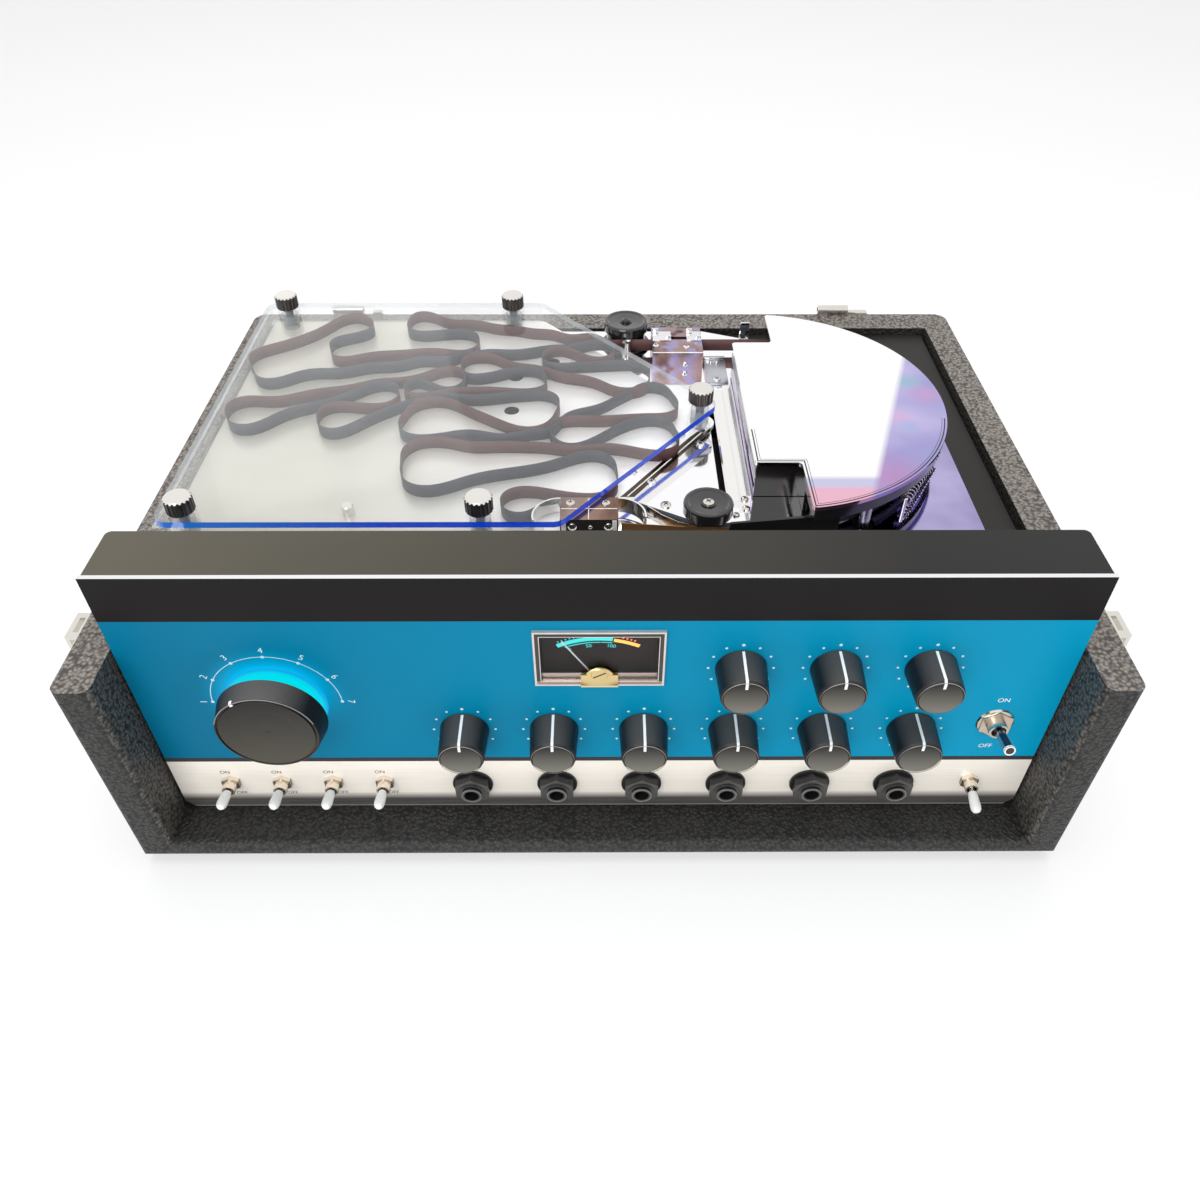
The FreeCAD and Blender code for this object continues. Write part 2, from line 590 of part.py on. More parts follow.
def front_panel():
    body = new_body("panel_body")
    outline = new_sketch(body, "XZ_Plane", -panel_front)
    corner = s.panel_corner
    polygon(outline, [(-panel_half, panel_low + corner), (-panel_half + corner, panel_low),
                      (panel_half - corner, panel_low), (panel_half, panel_low + corner),
                      (panel_half, visor_top), (-panel_half, visor_top)])
    pad(body, outline, s.panel_sheet, reverse=True)
    holes = new_sketch(body, "XZ_Plane", -panel_front)
    gap = s.panel_hole_gap
    for x, z in knob_places + [(mode_x, mode_z)]:
        circle(holes, x, z, s.bushing_radius + gap)
    for x in lower_x:
        circle(holes, x, jack_z, s.jack_bush_radius + gap)
    for x, z in mini_places + [(output_x, toggle_z)]:
        circle(holes, x, z, s.toggle_bush_radius + gap)
    circle(holes, power_x, power_z, s.toggle_bush_radius * s.power_lever_scale + gap)
    half = s.meter_width / 2 - s.meter_border + gap
    rise = s.meter_tall / 2 - s.meter_border + gap
    rectangle(holes, -half, meter_z - rise, half, meter_z + rise)
    pocket(body, holes)
    return node(body, "front_panel")


# ---------------------------------------------------------------- meter
def meter():
    """Panel meter: thin bezel with a zero screw boss, a case that drops behind the panel, pane and needle."""
    border = s.meter_border
    half, rise = s.meter_width / 2, s.meter_tall / 2
    bezel_front = panel_front - s.meter_proud
    case_back = panel_back + s.meter_body_depth
    body = new_body("meter_body")
    bezel = new_sketch(body, "XZ_Plane", -bezel_front)
    rectangle(bezel, -half, meter_z - rise, half, meter_z + rise)
    pad(body, bezel, s.meter_proud, reverse=True)
    neck = new_sketch(body, "XZ_Plane", -panel_front)
    rectangle(neck, -half + border, meter_z - rise + border, half - border, meter_z + rise - border)
    pad(body, neck, s.panel_sheet, reverse=True)
    can = new_sketch(body, "XZ_Plane", -panel_back)
    rectangle(can, -half + border, meter_z - rise - s.meter_drop, half - border, meter_z + rise - border)
    pad(body, can, s.meter_body_depth, reverse=True)
    inset = border + s.meter_wall
    dish = new_sketch(body, "XZ_Plane", -bezel_front)
    rectangle(dish, -half + inset, meter_z - rise + inset, half - inset, meter_z + rise - inset)
    pocket(body, dish, s.meter_proud + s.panel_sheet + s.meter_wall)
    movement = new_sketch(body, "XZ_Plane", -(panel_back + s.meter_wall))
    rectangle(movement, -half + inset, meter_z - rise - s.meter_drop + s.meter_wall, half - inset,
              meter_z + rise - inset)
    pocket(body, movement, s.meter_body_depth - s.meter_wall * 2)
    pin_z = meter_z - s.meter_pivot_drop
    needle_y = panel_back + s.meter_wall + s.needle_air
    pin = new_sketch(body, "XZ_Plane", -(case_back - s.meter_wall))
    circle(pin, 0, pin_z, s.needle_pin)
    pad(body, pin, case_back - s.meter_wall - needle_y)
    boss_z = meter_z - rise + inset
    boss = new_sketch(body, "XZ_Plane", -bezel_front)
    circle(boss, 0, boss_z, s.boss_radius)
    pad(body, boss, s.boss_proud)
    trim = new_sketch(body, "XZ_Plane", -(bezel_front - s.boss_proud))
    low = meter_z - rise
    rectangle(trim, -s.boss_radius, low - s.boss_radius, s.boss_radius, low)
    pocket(body, trim, s.boss_proud)
    foot = new_sketch(body, "XZ_Plane", -bezel_front)
    rectangle(foot, -s.boss_foot / 2, low, s.boss_foot / 2, low + s.boss_rise)
    pad(body, foot, s.boss_proud)
    node(body, "meter_housing")

    pane = box("pane", -half + inset, bezel_front + s.pane_recess, meter_z - rise + inset, (half - inset) * 2,
               s.pane_sheet, (rise - inset) * 2)
    node(pane, "meter_window")

    hub = rod("needle_hub", "Y", 0, needle_y, 0, s.needle_pin * 2, s.pane_sheet * 2)
    arm = box("needle_arm", -s.needle_pin / 4, 0, 0, s.needle_pin / 2, s.pane_sheet / 2, s.needle_length)
    place(arm, 0, needle_y + s.pane_sheet / 2, 0, ((0, 1, 0), -s.needle_tilt.value))
    bore = rod("needle_bore", "Y", 0, needle_y - 1, 0, s.needle_pin + s.shaft_fit, s.pane_sheet * 8)
    needle = cut("needle", fuse("needle_whole", hub, arm), bore)
    return node(place(needle, 0, 0, pin_z), "meter_needle")


# ---------------------------------------------------------------- knobs, switches and jacks
def potentiometer(i, x, z):
    """Can behind the panel, threaded bushing through it with a bore for the shaft, three terminals."""
    can = rod(f"pot_can_{i}", "Y", x, panel_back, z, s.pot_radius, s.pot_depth)
    bush = rod(f"pot_bush_{i}", "Y", x, panel_front - s.knob_gap, z, s.bushing_radius,
               s.panel_sheet + s.knob_gap + 1)
    tags = box(f"pot_tags_{i}", x - s.pot_radius / 2, panel_back, z - s.pot_radius - s.terminal_drop,
               s.pot_radius, s.panel_sheet, s.terminal_drop + s.pot_radius / 2)
    bore = rod(f"pot_bore_{i}", "Y", x, panel_front - s.knob_gap * 2, z, s.shaft_radius + s.shaft_fit,
               s.shaft_reach + s.knob_gap * 2)
    return cut(f"pot_{i}", fuse(f"pot_whole_{i}", can, bush, tags), bore)


def level_knob(i, x, z):
    """Slightly tapered knob with a skirt hollow behind it, turned as one with its shaft."""
    shaft_end = s.shaft_reach - s.knob_gap
    lip = s.knob_gap * 2
    profile = [(0, -s.knob_length), (s.knob_front_radius - lip, -s.knob_length),
               (s.knob_front_radius, -s.knob_length + lip), (s.knob_radius, -lip * 0.5),
               (s.knob_radius, -s.knob_gap * 0.5), (s.bushing_radius + lip, -s.knob_gap * 0.5),
               (s.bushing_radius + lip, -s.knob_gap * 3), (s.shaft_radius, -s.knob_gap * 3),
               (s.shaft_radius, shaft_end), (0, shaft_end)]
    body = turned(f"knob_{i}", "Y", profile)
    return node(place(body, x, panel_front, z), f"level_knob_{i + 1}")


def mode_knob():
    """Broad selector: straight flared side, dished face with a thin groove inside its front rim."""
    rear = -s.mode_standoff
    front_end = rear - s.mode_length
    face_r = s.mode_front_radius
    bevel = s.mode_lip / 2
    outer = face_r - s.mode_lip
    inner = outer - s.mode_groove
    profile = [(0, front_end + s.mode_dish), (inner * 0.6, front_end + s.mode_dish * 0.6), (inner, front_end),
               (inner, front_end + s.mode_groove_depth), (outer, front_end + s.mode_groove_depth),
               (outer, front_end), (face_r - bevel, front_end), (face_r, front_end + bevel),
               (s.mode_rim_radius, rear - bevel), (s.mode_rim_radius, rear), (s.mode_hub_radius, rear),
               (s.mode_hub_radius, -s.knob_gap * 3), (s.shaft_radius, -s.knob_gap * 3),
               (s.shaft_radius, s.shaft_reach - s.knob_gap), (0, s.shaft_reach - s.knob_gap)]
    body = turned("mode_knob_body", "Y", profile)
    return node(place(body, mode_x, panel_front, mode_z), "mode_knob")


def controls():
    pots = []
    for i, (x, z) in enumerate(knob_places):
        level_knob(i, x, z)
        pots.append(potentiometer(i, x, z))
    node(group("pots", pots), "potentiometers")
    mode_knob()
    node(potentiometer(9, mode_x, mode_z), "mode_switch")
    disc = rod("glow_disc", "Y", mode_x, panel_front - s.glow_sheet, mode_z, s.glow_radius, s.glow_sheet)
    bore = rod("glow_bore", "Y", mode_x, panel_front - s.glow_sheet * 2, mode_z, s.glow_bore, s.glow_sheet * 4)
    return node(cut("glow", disc, bore), "glow_ring")


def jack_sockets():
    """Round-mouthed quarter-inch sockets, each with its washer, nut and rear housing."""
    jacks = []
    mouth = panel_front - s.jack_proud
    nut_front = panel_front - s.jack_washer - s.jack_nut
    reach = s.jack_proud + s.panel_sheet + 1
    for i, x in enumerate(lower_x):
        bush = rod(f"jack_bush_{i}", "Y", x, mouth, jack_z, s.jack_bush_radius, reach)
        washer = rod(f"jack_washer_{i}", "Y", x, panel_front - s.jack_washer, jack_z, s.jack_washer_radius,
                     s.jack_washer)
        nut = hexagon(f"jack_nut_{i}", x, nut_front, jack_z, s.jack_nut_radius, s.jack_nut)
        collar = rod(f"jack_collar_{i}", "Y", x, nut_front - s.jack_collar, jack_z, s.jack_collar_radius,
                     s.jack_collar + s.jack_nut)
        rear = box(f"jack_rear_{i}", x - s.jack_body, panel_back, jack_z - s.jack_body, s.jack_body * 2,
                   s.jack_body_depth, s.jack_body * 2)
        bore = rod(f"jack_bore_{i}", "Y", x, mouth - 1, jack_z, s.jack_bore, s.jack_hole_depth + 1)
        jacks.append(cut(f"jack_{i}", fuse(f"jack_whole_{i}", bush, washer, nut, collar, rear), bore))
    return node(group("jacks", jacks), "jack_sockets")


def bat_profile(ball):
    """Small lever: a ball at the pivot, a thin neck and a wider sleeve to the tip."""
    length = s.bat_length
    neck, sleeve = s.bat_radius, s.bat_tip_radius
    return [(0, ball * 0.9), (ball * 0.7, ball * 0.7), (ball * 0.98, 0), (ball * 0.7, -ball * 0.7),
            (neck, -ball * 1.2), (sleeve, -length + 2 * neck), (sleeve, -length + neck), (neck, -length),
            (0, -length)]


def tube_profile(ball):
    """Large lever: a ball at the pivot, a neck inside the bushing and a straight tube with a hollow end."""
    length = s.power_bat_length
    neck, tube = s.power_neck_radius, s.power_bat_radius
    bore = tube - s.power_bat_wall
    shoulder = ball * 2 + s.power_shoulder
    return [(0, ball * 0.9), (ball * 0.7, ball * 0.7), (ball * 0.98, 0), (ball * 0.7, -ball * 0.7),
            (neck, -ball), (neck, -shoulder), (tube, -shoulder - (tube - neck)), (tube, -length),
            (bore, -length), (bore, -length + s.power_bat_wall * 3), (0, -length + s.power_bat_wall * 3)]


def toggle(i, x, z, scale, profile, tilt, label, ring_radius):
    """Fixed body of a toggle switch, and its lever with a cross pin through the ball in the bushing."""
    bush_radius = s.toggle_bush_radius * scale
    half = s.toggle_body * scale
    mouth = panel_front - s.toggle_bush
    bush = rod(f"tog_bush_{i}", "Y", x, mouth, z, bush_radius, s.toggle_bush + s.panel_sheet + 1)
    nut = hexagon(f"tog_nut_{i}", x, panel_front - s.toggle_nut, z, ring_radius, s.toggle_nut)
    rear = box(f"tog_rear_{i}", x - half, panel_back, z - half, half * 2, s.toggle_body_depth, half * 2)
    socket = rod(f"tog_socket_{i}", "Y", x, mouth - 1, z, s.toggle_socket_radius * scale, s.toggle_bush + 1)
    fixed = cut(f"tog_{i}", fuse(f"tog_whole_{i}", bush, nut, rear), socket)

    ball = s.toggle_ball_radius * scale
    pivot_y = mouth + ball + s.shaft_fit
    lever = turned(f"lever_{i}", "Y", profile(ball))
    place(lever, x, pivot_y, z, ((1, 0, 0), -tilt))
    pin_half = (s.toggle_socket_radius - s.toggle_pin_air) * scale
    pin = rod(f"lever_pin_{i}", "X", x - pin_half, pivot_y, z, s.toggle_pin_radius * scale, pin_half * 2)
    node(fuse(f"lever_on_pin_{i}", lever, pin), label)
    return fixed


def toggles():
    fixed = []
    tilt = s.bat_tilt.value
    nut = s.toggle_nut_radius
    for i, (x, z) in enumerate(mini_places):
        fixed.append(toggle(i, x, z, 1, bat_profile, tilt, f"mini_toggle_{i + 1}", nut))
    fixed.append(toggle(4, output_x, toggle_z, 1, bat_profile, -tilt, "output_toggle", nut))
    fixed.append(toggle(5, power_x, power_z, s.power_lever_scale, tube_profile, tilt, "power_toggle",
                        s.power_ring_radius))
    return node(group("toggle_group", fixed), "toggle_bodies")


# ---------------------------------------------------------------- deck and tray
def deck_plate():
    body = new_body("deck_body")
    y0 = panel_front + s.deck_front
    y1 = rear_face - s.deck_rear
    sketch = new_sketch(body, "XY_Plane", deck_top)
    polygon(sketch, [(tray_left + 1, y0), (s.deck_half, y0), (s.deck_half, head_y - s.deck_cut_front),
                     (s.deck_half - s.deck_cut_x, y1 - s.deck_cut_back), (s.deck_cut_end, y1),
                     (tray_left + 1, y1)])
    pad(body, sketch, s.deck_sheet, reverse=True)
    slot = new_sketch(body, "XY_Plane", deck_top)
    rectangle(slot, s.deck_slot_x - s.deck_slot_width / 2, panel_front + s.deck_slot_front,
              s.deck_slot_x + s.deck_slot_width / 2, panel_front + s.deck_slot_front + s.deck_slot_length)
    circle(slot, capstan_x, capstan_y, s.bearing_radius)
    for x, y in tray_holes:
        circle(slot, x, y, s.hole_radius)
    pocket(body, slot)
    studs = new_sketch(body, "XY_Plane", chassis_top)
    inset = s.deck_stud * 2
    for x in (tray_left + inset, Size.of(0), s.deck_half - inset):
        circle(studs, x, y0 + inset, s.deck_stud)
    for x in (tray_left + inset, Size.of(0)):
        circle(studs, x, y1 - inset, s.deck_stud)
    pad(body, studs, deck_under - chassis_top)
    pins = new_sketch(body, "XY_Plane", deck_top)
    circle(pins, s.roller_x, roller_y, s.spindle_radius)
    circle(pins, s.rear_roller_x, rear_roller_y, s.spindle_radius)
    pad(body, pins, tape_high + s.flange - deck_top)
    return node(body, "deck_plate")


def tray_outline():
    """Corner points shared by the tray floor and its clear cover."""
    return [(tray_left, tray_front), (s.cover_nose_x, tray_front), (s.cover_tip_x, tip_y),
            (s.cover_tail_x, tray_rear), (tray_left, tray_rear)]


def tray():
    body = new_body("floor_body")
    sketch = new_sketch(body, "XY_Plane", deck_top)
    polygon(sketch, tray_outline())
    pad(body, sketch, s.tray_sheet)
    dress(body, "Fillet", s.cover_corner, upright)
    gap = s.block_gap
    notch = new_sketch(body, "XY_Plane", deck_top)
    rectangle(notch, s.block_x - gap, block_y - gap, s.block_x + s.block_length * 2,
              block_y + s.block_width + gap)
    for x, y in tray_holes:
        circle(notch, x, y, s.hole_radius)
    pocket(body, notch)
    node(body, "tray_floor")

    walls = new_body("wall_body")
    sketch = new_sketch(walls, "XY_Plane", tray_base)
    wall = s.tray_wall
    nose = s.cover_nose_x - s.screw_inset
    polygon(sketch, [(nose, tray_front), (tray_left, tray_front), (tray_left, tray_rear),
                     (s.cover_tail_x, tray_rear), (s.cover_tail_x, tray_rear - wall),
                     (tray_left + wall, tray_rear - wall), (tray_left + wall, tray_front + wall),
                     (nose, tray_front + wall)])
    pad(walls, sketch, s.tray_depth)
    node(walls, "tray_walls")

    posts = []
    for i, (x, y) in enumerate(screw_places):
        post = rod(f"post_{i}", "Z", x, y, tray_base, s.post_radius, s.tray_depth)
        bore = rod(f"post_bore_{i}", "Z", x, y, tray_base + s.screw_foot_gap / 2, s.screw_stem + s.screw_fit,
                   s.tray_depth * 2)
        posts.append(cut(f"post_cut_{i}", post, bore))
    return node(group("post_group", posts), "tray_posts")


def tray_cover():
    body = new_body("cover_body")
    sketch = new_sketch(body, "XY_Plane", cover_low)
    polygon(sketch, tray_outline())
    pad(body, sketch, s.cover_sheet)
    dress(body, "Fillet", s.cover_corner, upright)
    holes = new_sketch(body, "XY_Plane", cover_low)
    for x, y in screw_places:
        circle(holes, x, y, s.screw_stem + s.screw_hole_gap)
    pocket(body, holes)
    return node(body, "tray_cover")


def thumbscrews():
    for i, (x, y) in enumerate(screw_places):
        head = s.screw_head_radius
        top = s.screw_collar + s.screw_head
        foot = -(s.cover_sheet + s.tray_depth - s.screw_foot_gap)
        body = turned(f"screw_{i}", "Z", [
            (0, foot), (s.screw_stem, foot), (s.screw_stem, 0), (s.post_radius * 0.8, 0),
            (s.post_radius * 0.8, s.screw_collar), (head - 0.5, s.screw_collar), (head, s.screw_collar + 0.5),
            (head, top - 0.8), (head - 0.8, top), (0, top)])
        nick = new_sketch(body, "XY_Plane", s.screw_collar)
        circle(nick, 0, head + 0.35, 0.8)
        ring_of(body, pocket(body, nick, s.screw_head, reverse=True), 18, "Z_Axis")
        node(place(body, x, y, cover_top), f"thumbscrew_{i + 1}")


# ---------------------------------------------------------------- tape and transport
def tape_circles():
    """Every turn of the endless tape as (x, y, radius, side), with the folds set into the tray's span."""
    across = (s.cover_tip_x.value - tray_left.value) / (FOLD_RIGHT - FOLD_LEFT)
    back = (tray_rear.value - tray_front.value) / (FOLD_BACK - FOLD_FRONT)
    tight = min(across, back)
    turns = [((s.block_x - s.exit_fold_side).value, (block_y + s.exit_fold_back).value,
              s.exit_fold_radius.value, -1)]
    for x, y, radius, side in FOLDS:
        turns.append((tray_left.value + (x - FOLD_LEFT) * across, tray_front.value + (y - FOLD_FRONT) * back,
                      radius * tight, side))
    turns.append((s.rear_roller_x.value, rear_roller_y.value, s.rear_tape_radius.value, 1))
    turns.append((s.head_centre_x.value, head_y.value, head_radius.value, -1))
    turns.append((s.roller_x.value, roller_y.value, s.roller_tape_radius.value, -1))
    wrap = s.shoe_radius + s.roller_air + s.tape_sheet / 2
    for x in (s.block_x + s.block_length, s.block_x):
        turns.append((x.value, shoe_y.value, wrap.value, 1))
    return turns


def touching_line(a, b, shift):
    """Ends of the straight run from turn a to turn b, shifted to one face of the tape."""
    (ax, ay, ar, aside), (bx, by, br, bside) = a, b
    ra, rb = aside * ar - shift, bside * br - shift
    dx, dy = bx - ax, by - ay
    heading = math.atan2(dy, dx) - math.asin((rb - ra) / math.hypot(dx, dy))
    nx, ny = -math.sin(heading), math.cos(heading)
    return (ax - ra * nx, ay - ra * ny), (bx - rb * nx, by - rb * ny)


def tape_face_wire(turns, shift, z):
    """Closed wire of runs and arcs along one face of the tape."""
    runs = [touching_line(turns[i], turns[(i + 1) % len(turns)], shift) for i in range(len(turns))]
    edges = []
    for i, (cx, cy, radius, side) in enumerate(turns):
        start, end = runs[i - 1][1], runs[i][0]
        edges.append(arc_between((cx, cy), start, end, side, z))
        far = runs[i][1]
        edges.append(Part.LineSegment(FreeCAD.Vector(*end, z), FreeCAD.Vector(*far, z)).toShape())
    return Part.Wire(edges)


def arc_between(centre, start, end, side, z):
    cx, cy = centre
    a0 = math.atan2(start[1] - cy, start[0] - cx)
    a1 = math.atan2(end[1] - cy, end[0] - cx)
    sweep = (a1 - a0) * side % (2 * math.pi)
    middle = a0 + side * sweep / 2
    radius = math.hypot(start[0] - cx, start[1] - cy)
    half = FreeCAD.Vector(cx + radius * math.cos(middle), cy + radius * math.sin(middle), z)
    return Part.Arc(FreeCAD.Vector(*start, z), half, FreeCAD.Vector(*end, z)).toShape()


def tape_loop():
    """The endless tape: a thin upright ribbon that folds through the tray and runs round the deck."""
    turns = tape_circles()
    half = s.tape_sheet.value / 2
    wires = [tape_face_wire(turns, shift, 0) for shift in (-half, half)]
    wires.sort(key=lambda wire: Part.Face(wire).Area)
    ribbon = Part.Face(wires[1]).cut(Part.Face(wires[0])).Faces[0]
    item = doc.addObject("Part::Feature", "tape")
    item.Shape = ribbon.extrude(FreeCAD.Vector(0, 0, s.tape_width.value))
    place(item, 0, 0, tape_low)
    return node(item, "tape_loop")


def roller(name, label, x, y, tape_radius, flange_radius, cap_radius):
    """Roller on a fixed spindle: drum with an optional lower flange, and a flat cap with a rounded edge."""
    drum = tape_radius - s.tape_sheet / 2 - s.roller_air
    edge, dish = s.cap_edge, s.cap_dish
    high = s.tape_width + s.roller_air * 2
    start = 0
    foot = []
    if flange_radius is not None:
        start = -s.flange
        foot = [(flange_radius, start), (flange_radius, -s.flange * 0.2)]
    bore = s.spindle_radius + s.spindle_fit
    top = high + s.flange
    crown = top + s.cap_rise
    body = turned(name, "Z", [(bore, start)] + foot + [
        (drum, 0 if foot else start), (drum, high), (cap_radius - edge, high), (cap_radius, high + edge / 2),
        (cap_radius, crown - edge), (cap_radius - edge * 0.3, crown - edge * 0.3), (cap_radius - edge, crown),
        (cap_radius - edge * 2, crown), (cap_radius - edge * 3, crown - dish), (s.cap_screw, crown - dish * 2),
        (s.cap_screw, crown - dish), (0, crown - dish), (0, top + s.roller_air), (bore, top + s.roller_air)])
    return node(place(body, x, y, tape_low - s.roller_air), label)


def rollers():
    roller("front_roller_body", "front_roller", s.roller_x, roller_y, s.roller_tape_radius, None,
           s.roller_cap_radius)
    roller("rear_roller_body", "rear_roller", s.rear_roller_x, rear_roller_y, s.rear_tape_radius,
           s.rear_flange_radius, s.rear_cap_radius)


def plate_cutter(body, level, inset):
    """Sketch of everything left of the head cover's stepped straight side."""
    left = s.head_centre_x - s.plate_left + inset
    step = s.head_centre_x + s.plate_notch + inset
    lowest = head_y - head_radius * 2
    highest = head_y + head_radius * 2
    far = s.head_centre_x - head_radius * 2
    sketch = new_sketch(body, "XY_Plane", level)
    polygon(sketch, [(far, lowest), (step, lowest), (step, head_y - s.notch_front + inset),
                     (left, head_y - s.notch_front + inset), (left, head_y + s.notch_rear - inset),
                     (step, head_y + s.notch_rear - inset), (step, highest), (far, highest)])
    return sketch


def head_cover():
    radius = head_radius + s.plate_overhang
    plate = new_body("plate_body")
    disc = new_sketch(plate, "XY_Plane", plate_low)
    circle(disc, s.head_centre_x, head_y, radius)
    pad(plate, disc, s.plate_sheet)
    pocket(plate, plate_cutter(plate, plate_low, Size.of(0)))
    dress(plate, "Fillet", s.plate_sheet, lambda edge, middle: upright(edge))
    node(plate, "head_cover_plate")

    skirt = new_body("skirt_body")
    ring = new_sketch(skirt, "XY_Plane", plate_low)
    circle(ring, s.head_centre_x, head_y, radius - s.skirt_inset)
    circle(ring, s.head_centre_x, head_y, radius - s.skirt_inset - s.skirt_sheet)
    pad(skirt, ring, s.skirt_band, reverse=True)
    pocket(skirt, plate_cutter(skirt, plate_low, s.skirt_inset))
    left = s.head_centre_x - s.plate_left + s.skirt_inset
    step = s.head_centre_x + s.plate_notch + s.skirt_inset
    near = head_y - s.notch_front + s.skirt_inset
    far = head_y + s.notch_rear - s.skirt_inset
    wall = s.skirt_sheet
    reach = radius - s.skirt_inset
    low = deck_top + s.roller_air
    side = new_sketch(skirt, "XY_Plane", plate_low)
    polygon(side, [(step, near - s.plate_notch), (step + wall, near - s.plate_notch),
                   (step + wall, near + wall), (left + wall, near + wall), (left + wall, far - wall), (step + wall, far - wall),
                   (step + wall, far + s.plate_notch), (step, far + s.plate_notch), (step, far), (left, far),
                   (left, near), (step, near)])
    pad(skirt, side, plate_low - low, reverse=True)
    ends = new_sketch(skirt, "XY_Plane", plate_low)
    rise = (reach * reach - (step - s.head_centre_x) * (step - s.head_centre_x)).value ** 0.5
    outer = head_y + s.notch_rear + s.plate_notch * 0.6
    rectangle(ends, step, outer, step + wall, head_y + rise - 0.6)
    rectangle(ends, step, head_y - rise + 0.6, step + wall, near - s.plate_notch + 1)
    pad(skirt, ends, s.skirt_band, reverse=True)
    return node(skirt, "head_cover_skirt")


def head_bridge():
    """Base plate of the head bay, the four head brackets' posts, the arm's pivot and the front shield."""
    base_r = head_radius - s.bridge_inset
    body = new_body("bridge_body")
    disc = new_sketch(body, "XY_Plane", deck_top)
    circle(disc, s.head_centre_x, head_y, head_radius - s.head_air * 10)
    pad(body, disc, s.bridge_sheet)
    pocket(body, plate_cutter(body, deck_top, s.skirt_inset * 2 + s.skirt_sheet))
    holes = new_sketch(body, "XY_Plane", deck_top)
    circle(holes, s.head_centre_x + base_r * 0.62, head_y, base_r * 0.22)
    pocket(body, holes)
    pin = new_sketch(body, "XY_Plane", deck_top + s.bridge_sheet)
    circle(pin, arm_x, arm_y, s.spindle_radius)
    pad(body, pin, tape_low - deck_top - s.bridge_sheet + s.tape_width)
    return node(group("bridge_group", [body, front_shield()]), "head_bridge")


def tape_heads():
    """Four heads with rounded faces that stand inside the arc of the tape."""
    heads = []
    reach = head_radius - s.tape_sheet / 2 - s.head_air
    low = deck_top + s.bridge_sheet
    for i, angle in enumerate(HEAD_ANGLES):
        body = new_body(f"head_{i}")
        outline = new_sketch(body, "XY_Plane")
        inner = reach - s.head_back
        half = s.head_length / 2
        shoulder, brow = reach - s.head_back * 0.4, reach - s.head_back * 0.05
        polygon(outline, [(inner, -half), (shoulder, -half), (brow, -half * 0.45), (reach, 0),
                          (brow, half * 0.45), (shoulder, half), (inner, half)])
        pad(body, outline, s.head_tall)
        foot = new_sketch(body, "XY_Plane")
        rectangle(foot, inner - s.head_back * 0.6, -half * 0.8, inner + 1, half * 0.8)
        pad(body, foot, s.bridge_sheet)
        place(body, s.head_centre_x, head_y, low, ((0, 0, 1), angle))
        heads.append(body)
    return node(group("heads", heads), "tape_heads")


def pinch():
    """Pinch roller on its swinging arm, with the coil spring along the rim of the bay."""
    arm_z = deck_top + s.bridge_sheet + s.roller_air
    half = s.arm_width / 2
    across, along = pinch_x - arm_x, pinch_y - arm_y
    length = across.hypot(along)
    heading = math.degrees(math.atan2(along.value, across.value))
    body = new_body("arm_body")
    outline = new_sketch(body, "XY_Plane")
    rectangle(outline, 0, -half, length, half)
    pad(body, outline, s.arm_sheet)
    ends = new_sketch(body, "XY_Plane")
    circle(ends, 0, 0, half)
    pad(body, ends, s.arm_sheet * 2)
    tip = new_sketch(body, "XY_Plane")
    circle(tip, length, 0, half)
    pad(body, tip, s.arm_sheet)
    axle = new_sketch(body, "XY_Plane", s.arm_sheet)
    circle(axle, length, 0, s.spindle_radius)
    pad(body, axle, s.tape_width + s.roller_air * 2)
    bore = new_sketch(body, "XY_Plane")
    circle(bore, 0, 0, s.spindle_radius + s.spindle_fit)
    pocket(body, bore)
    place(body, arm_x, arm_y, arm_z, ((0, 0, 1), heading))
    node(body, "pinch_arm")

    wheel_z = arm_z + s.arm_sheet + s.roller_air
    height = s.tape_width + s.roller_air
    hub = s.spindle_radius + s.spindle_fit
    wheel = turned("pinch_body", "Z", [(hub, 0), (s.pinch_radius - 0.6, 0), (s.pinch_radius, 0.6),
                                       (s.pinch_radius, height - 0.6), (s.pinch_radius - 0.6, height),
                                       (hub * 1.8, height), (hub * 1.6, height - 0.5), (hub, height - 0.5)])
    return node(place(wheel, pinch_x, pinch_y, wheel_z), "pinch_roller")


def pinch_spring():
    x0, y0 = polar(spring_reach, s.spring_start)
    x1, y1 = polar(spring_reach, s.spring_end)
    span = math.hypot(x1.value - x0.value, y1.value - y0.value)
    heading = math.degrees(math.atan2(y1.value - y0.value, x1.value - x0.value))
    coils = int(span / (2 * s.spring_wire.value))
    profile = [(0, 0)]
    for i in range(coils):
        at = i * span / coils
        profile += [(s.spring_radius - s.spring_wire / 2, at), (s.spring_radius, at + span / coils / 2)]
    profile += [(s.spring_radius - s.spring_wire / 2, span), (0, span)]
    body = turned("spring_body", "Y", profile)
    place(body, x0, y0, deck_top + s.spring_lift, ((0, 0, 1), heading - 90))
    feet = []
    for i, (x, y) in enumerate(((x0, y0), (x1, y1))):
        feet.append(rod(f"spring_post_{i}", "Z", x, y, deck_top, s.spring_wire,
                        s.spring_lift + s.spring_radius))
    return node(fuse("spring", body, *feet), "pinch_spring")


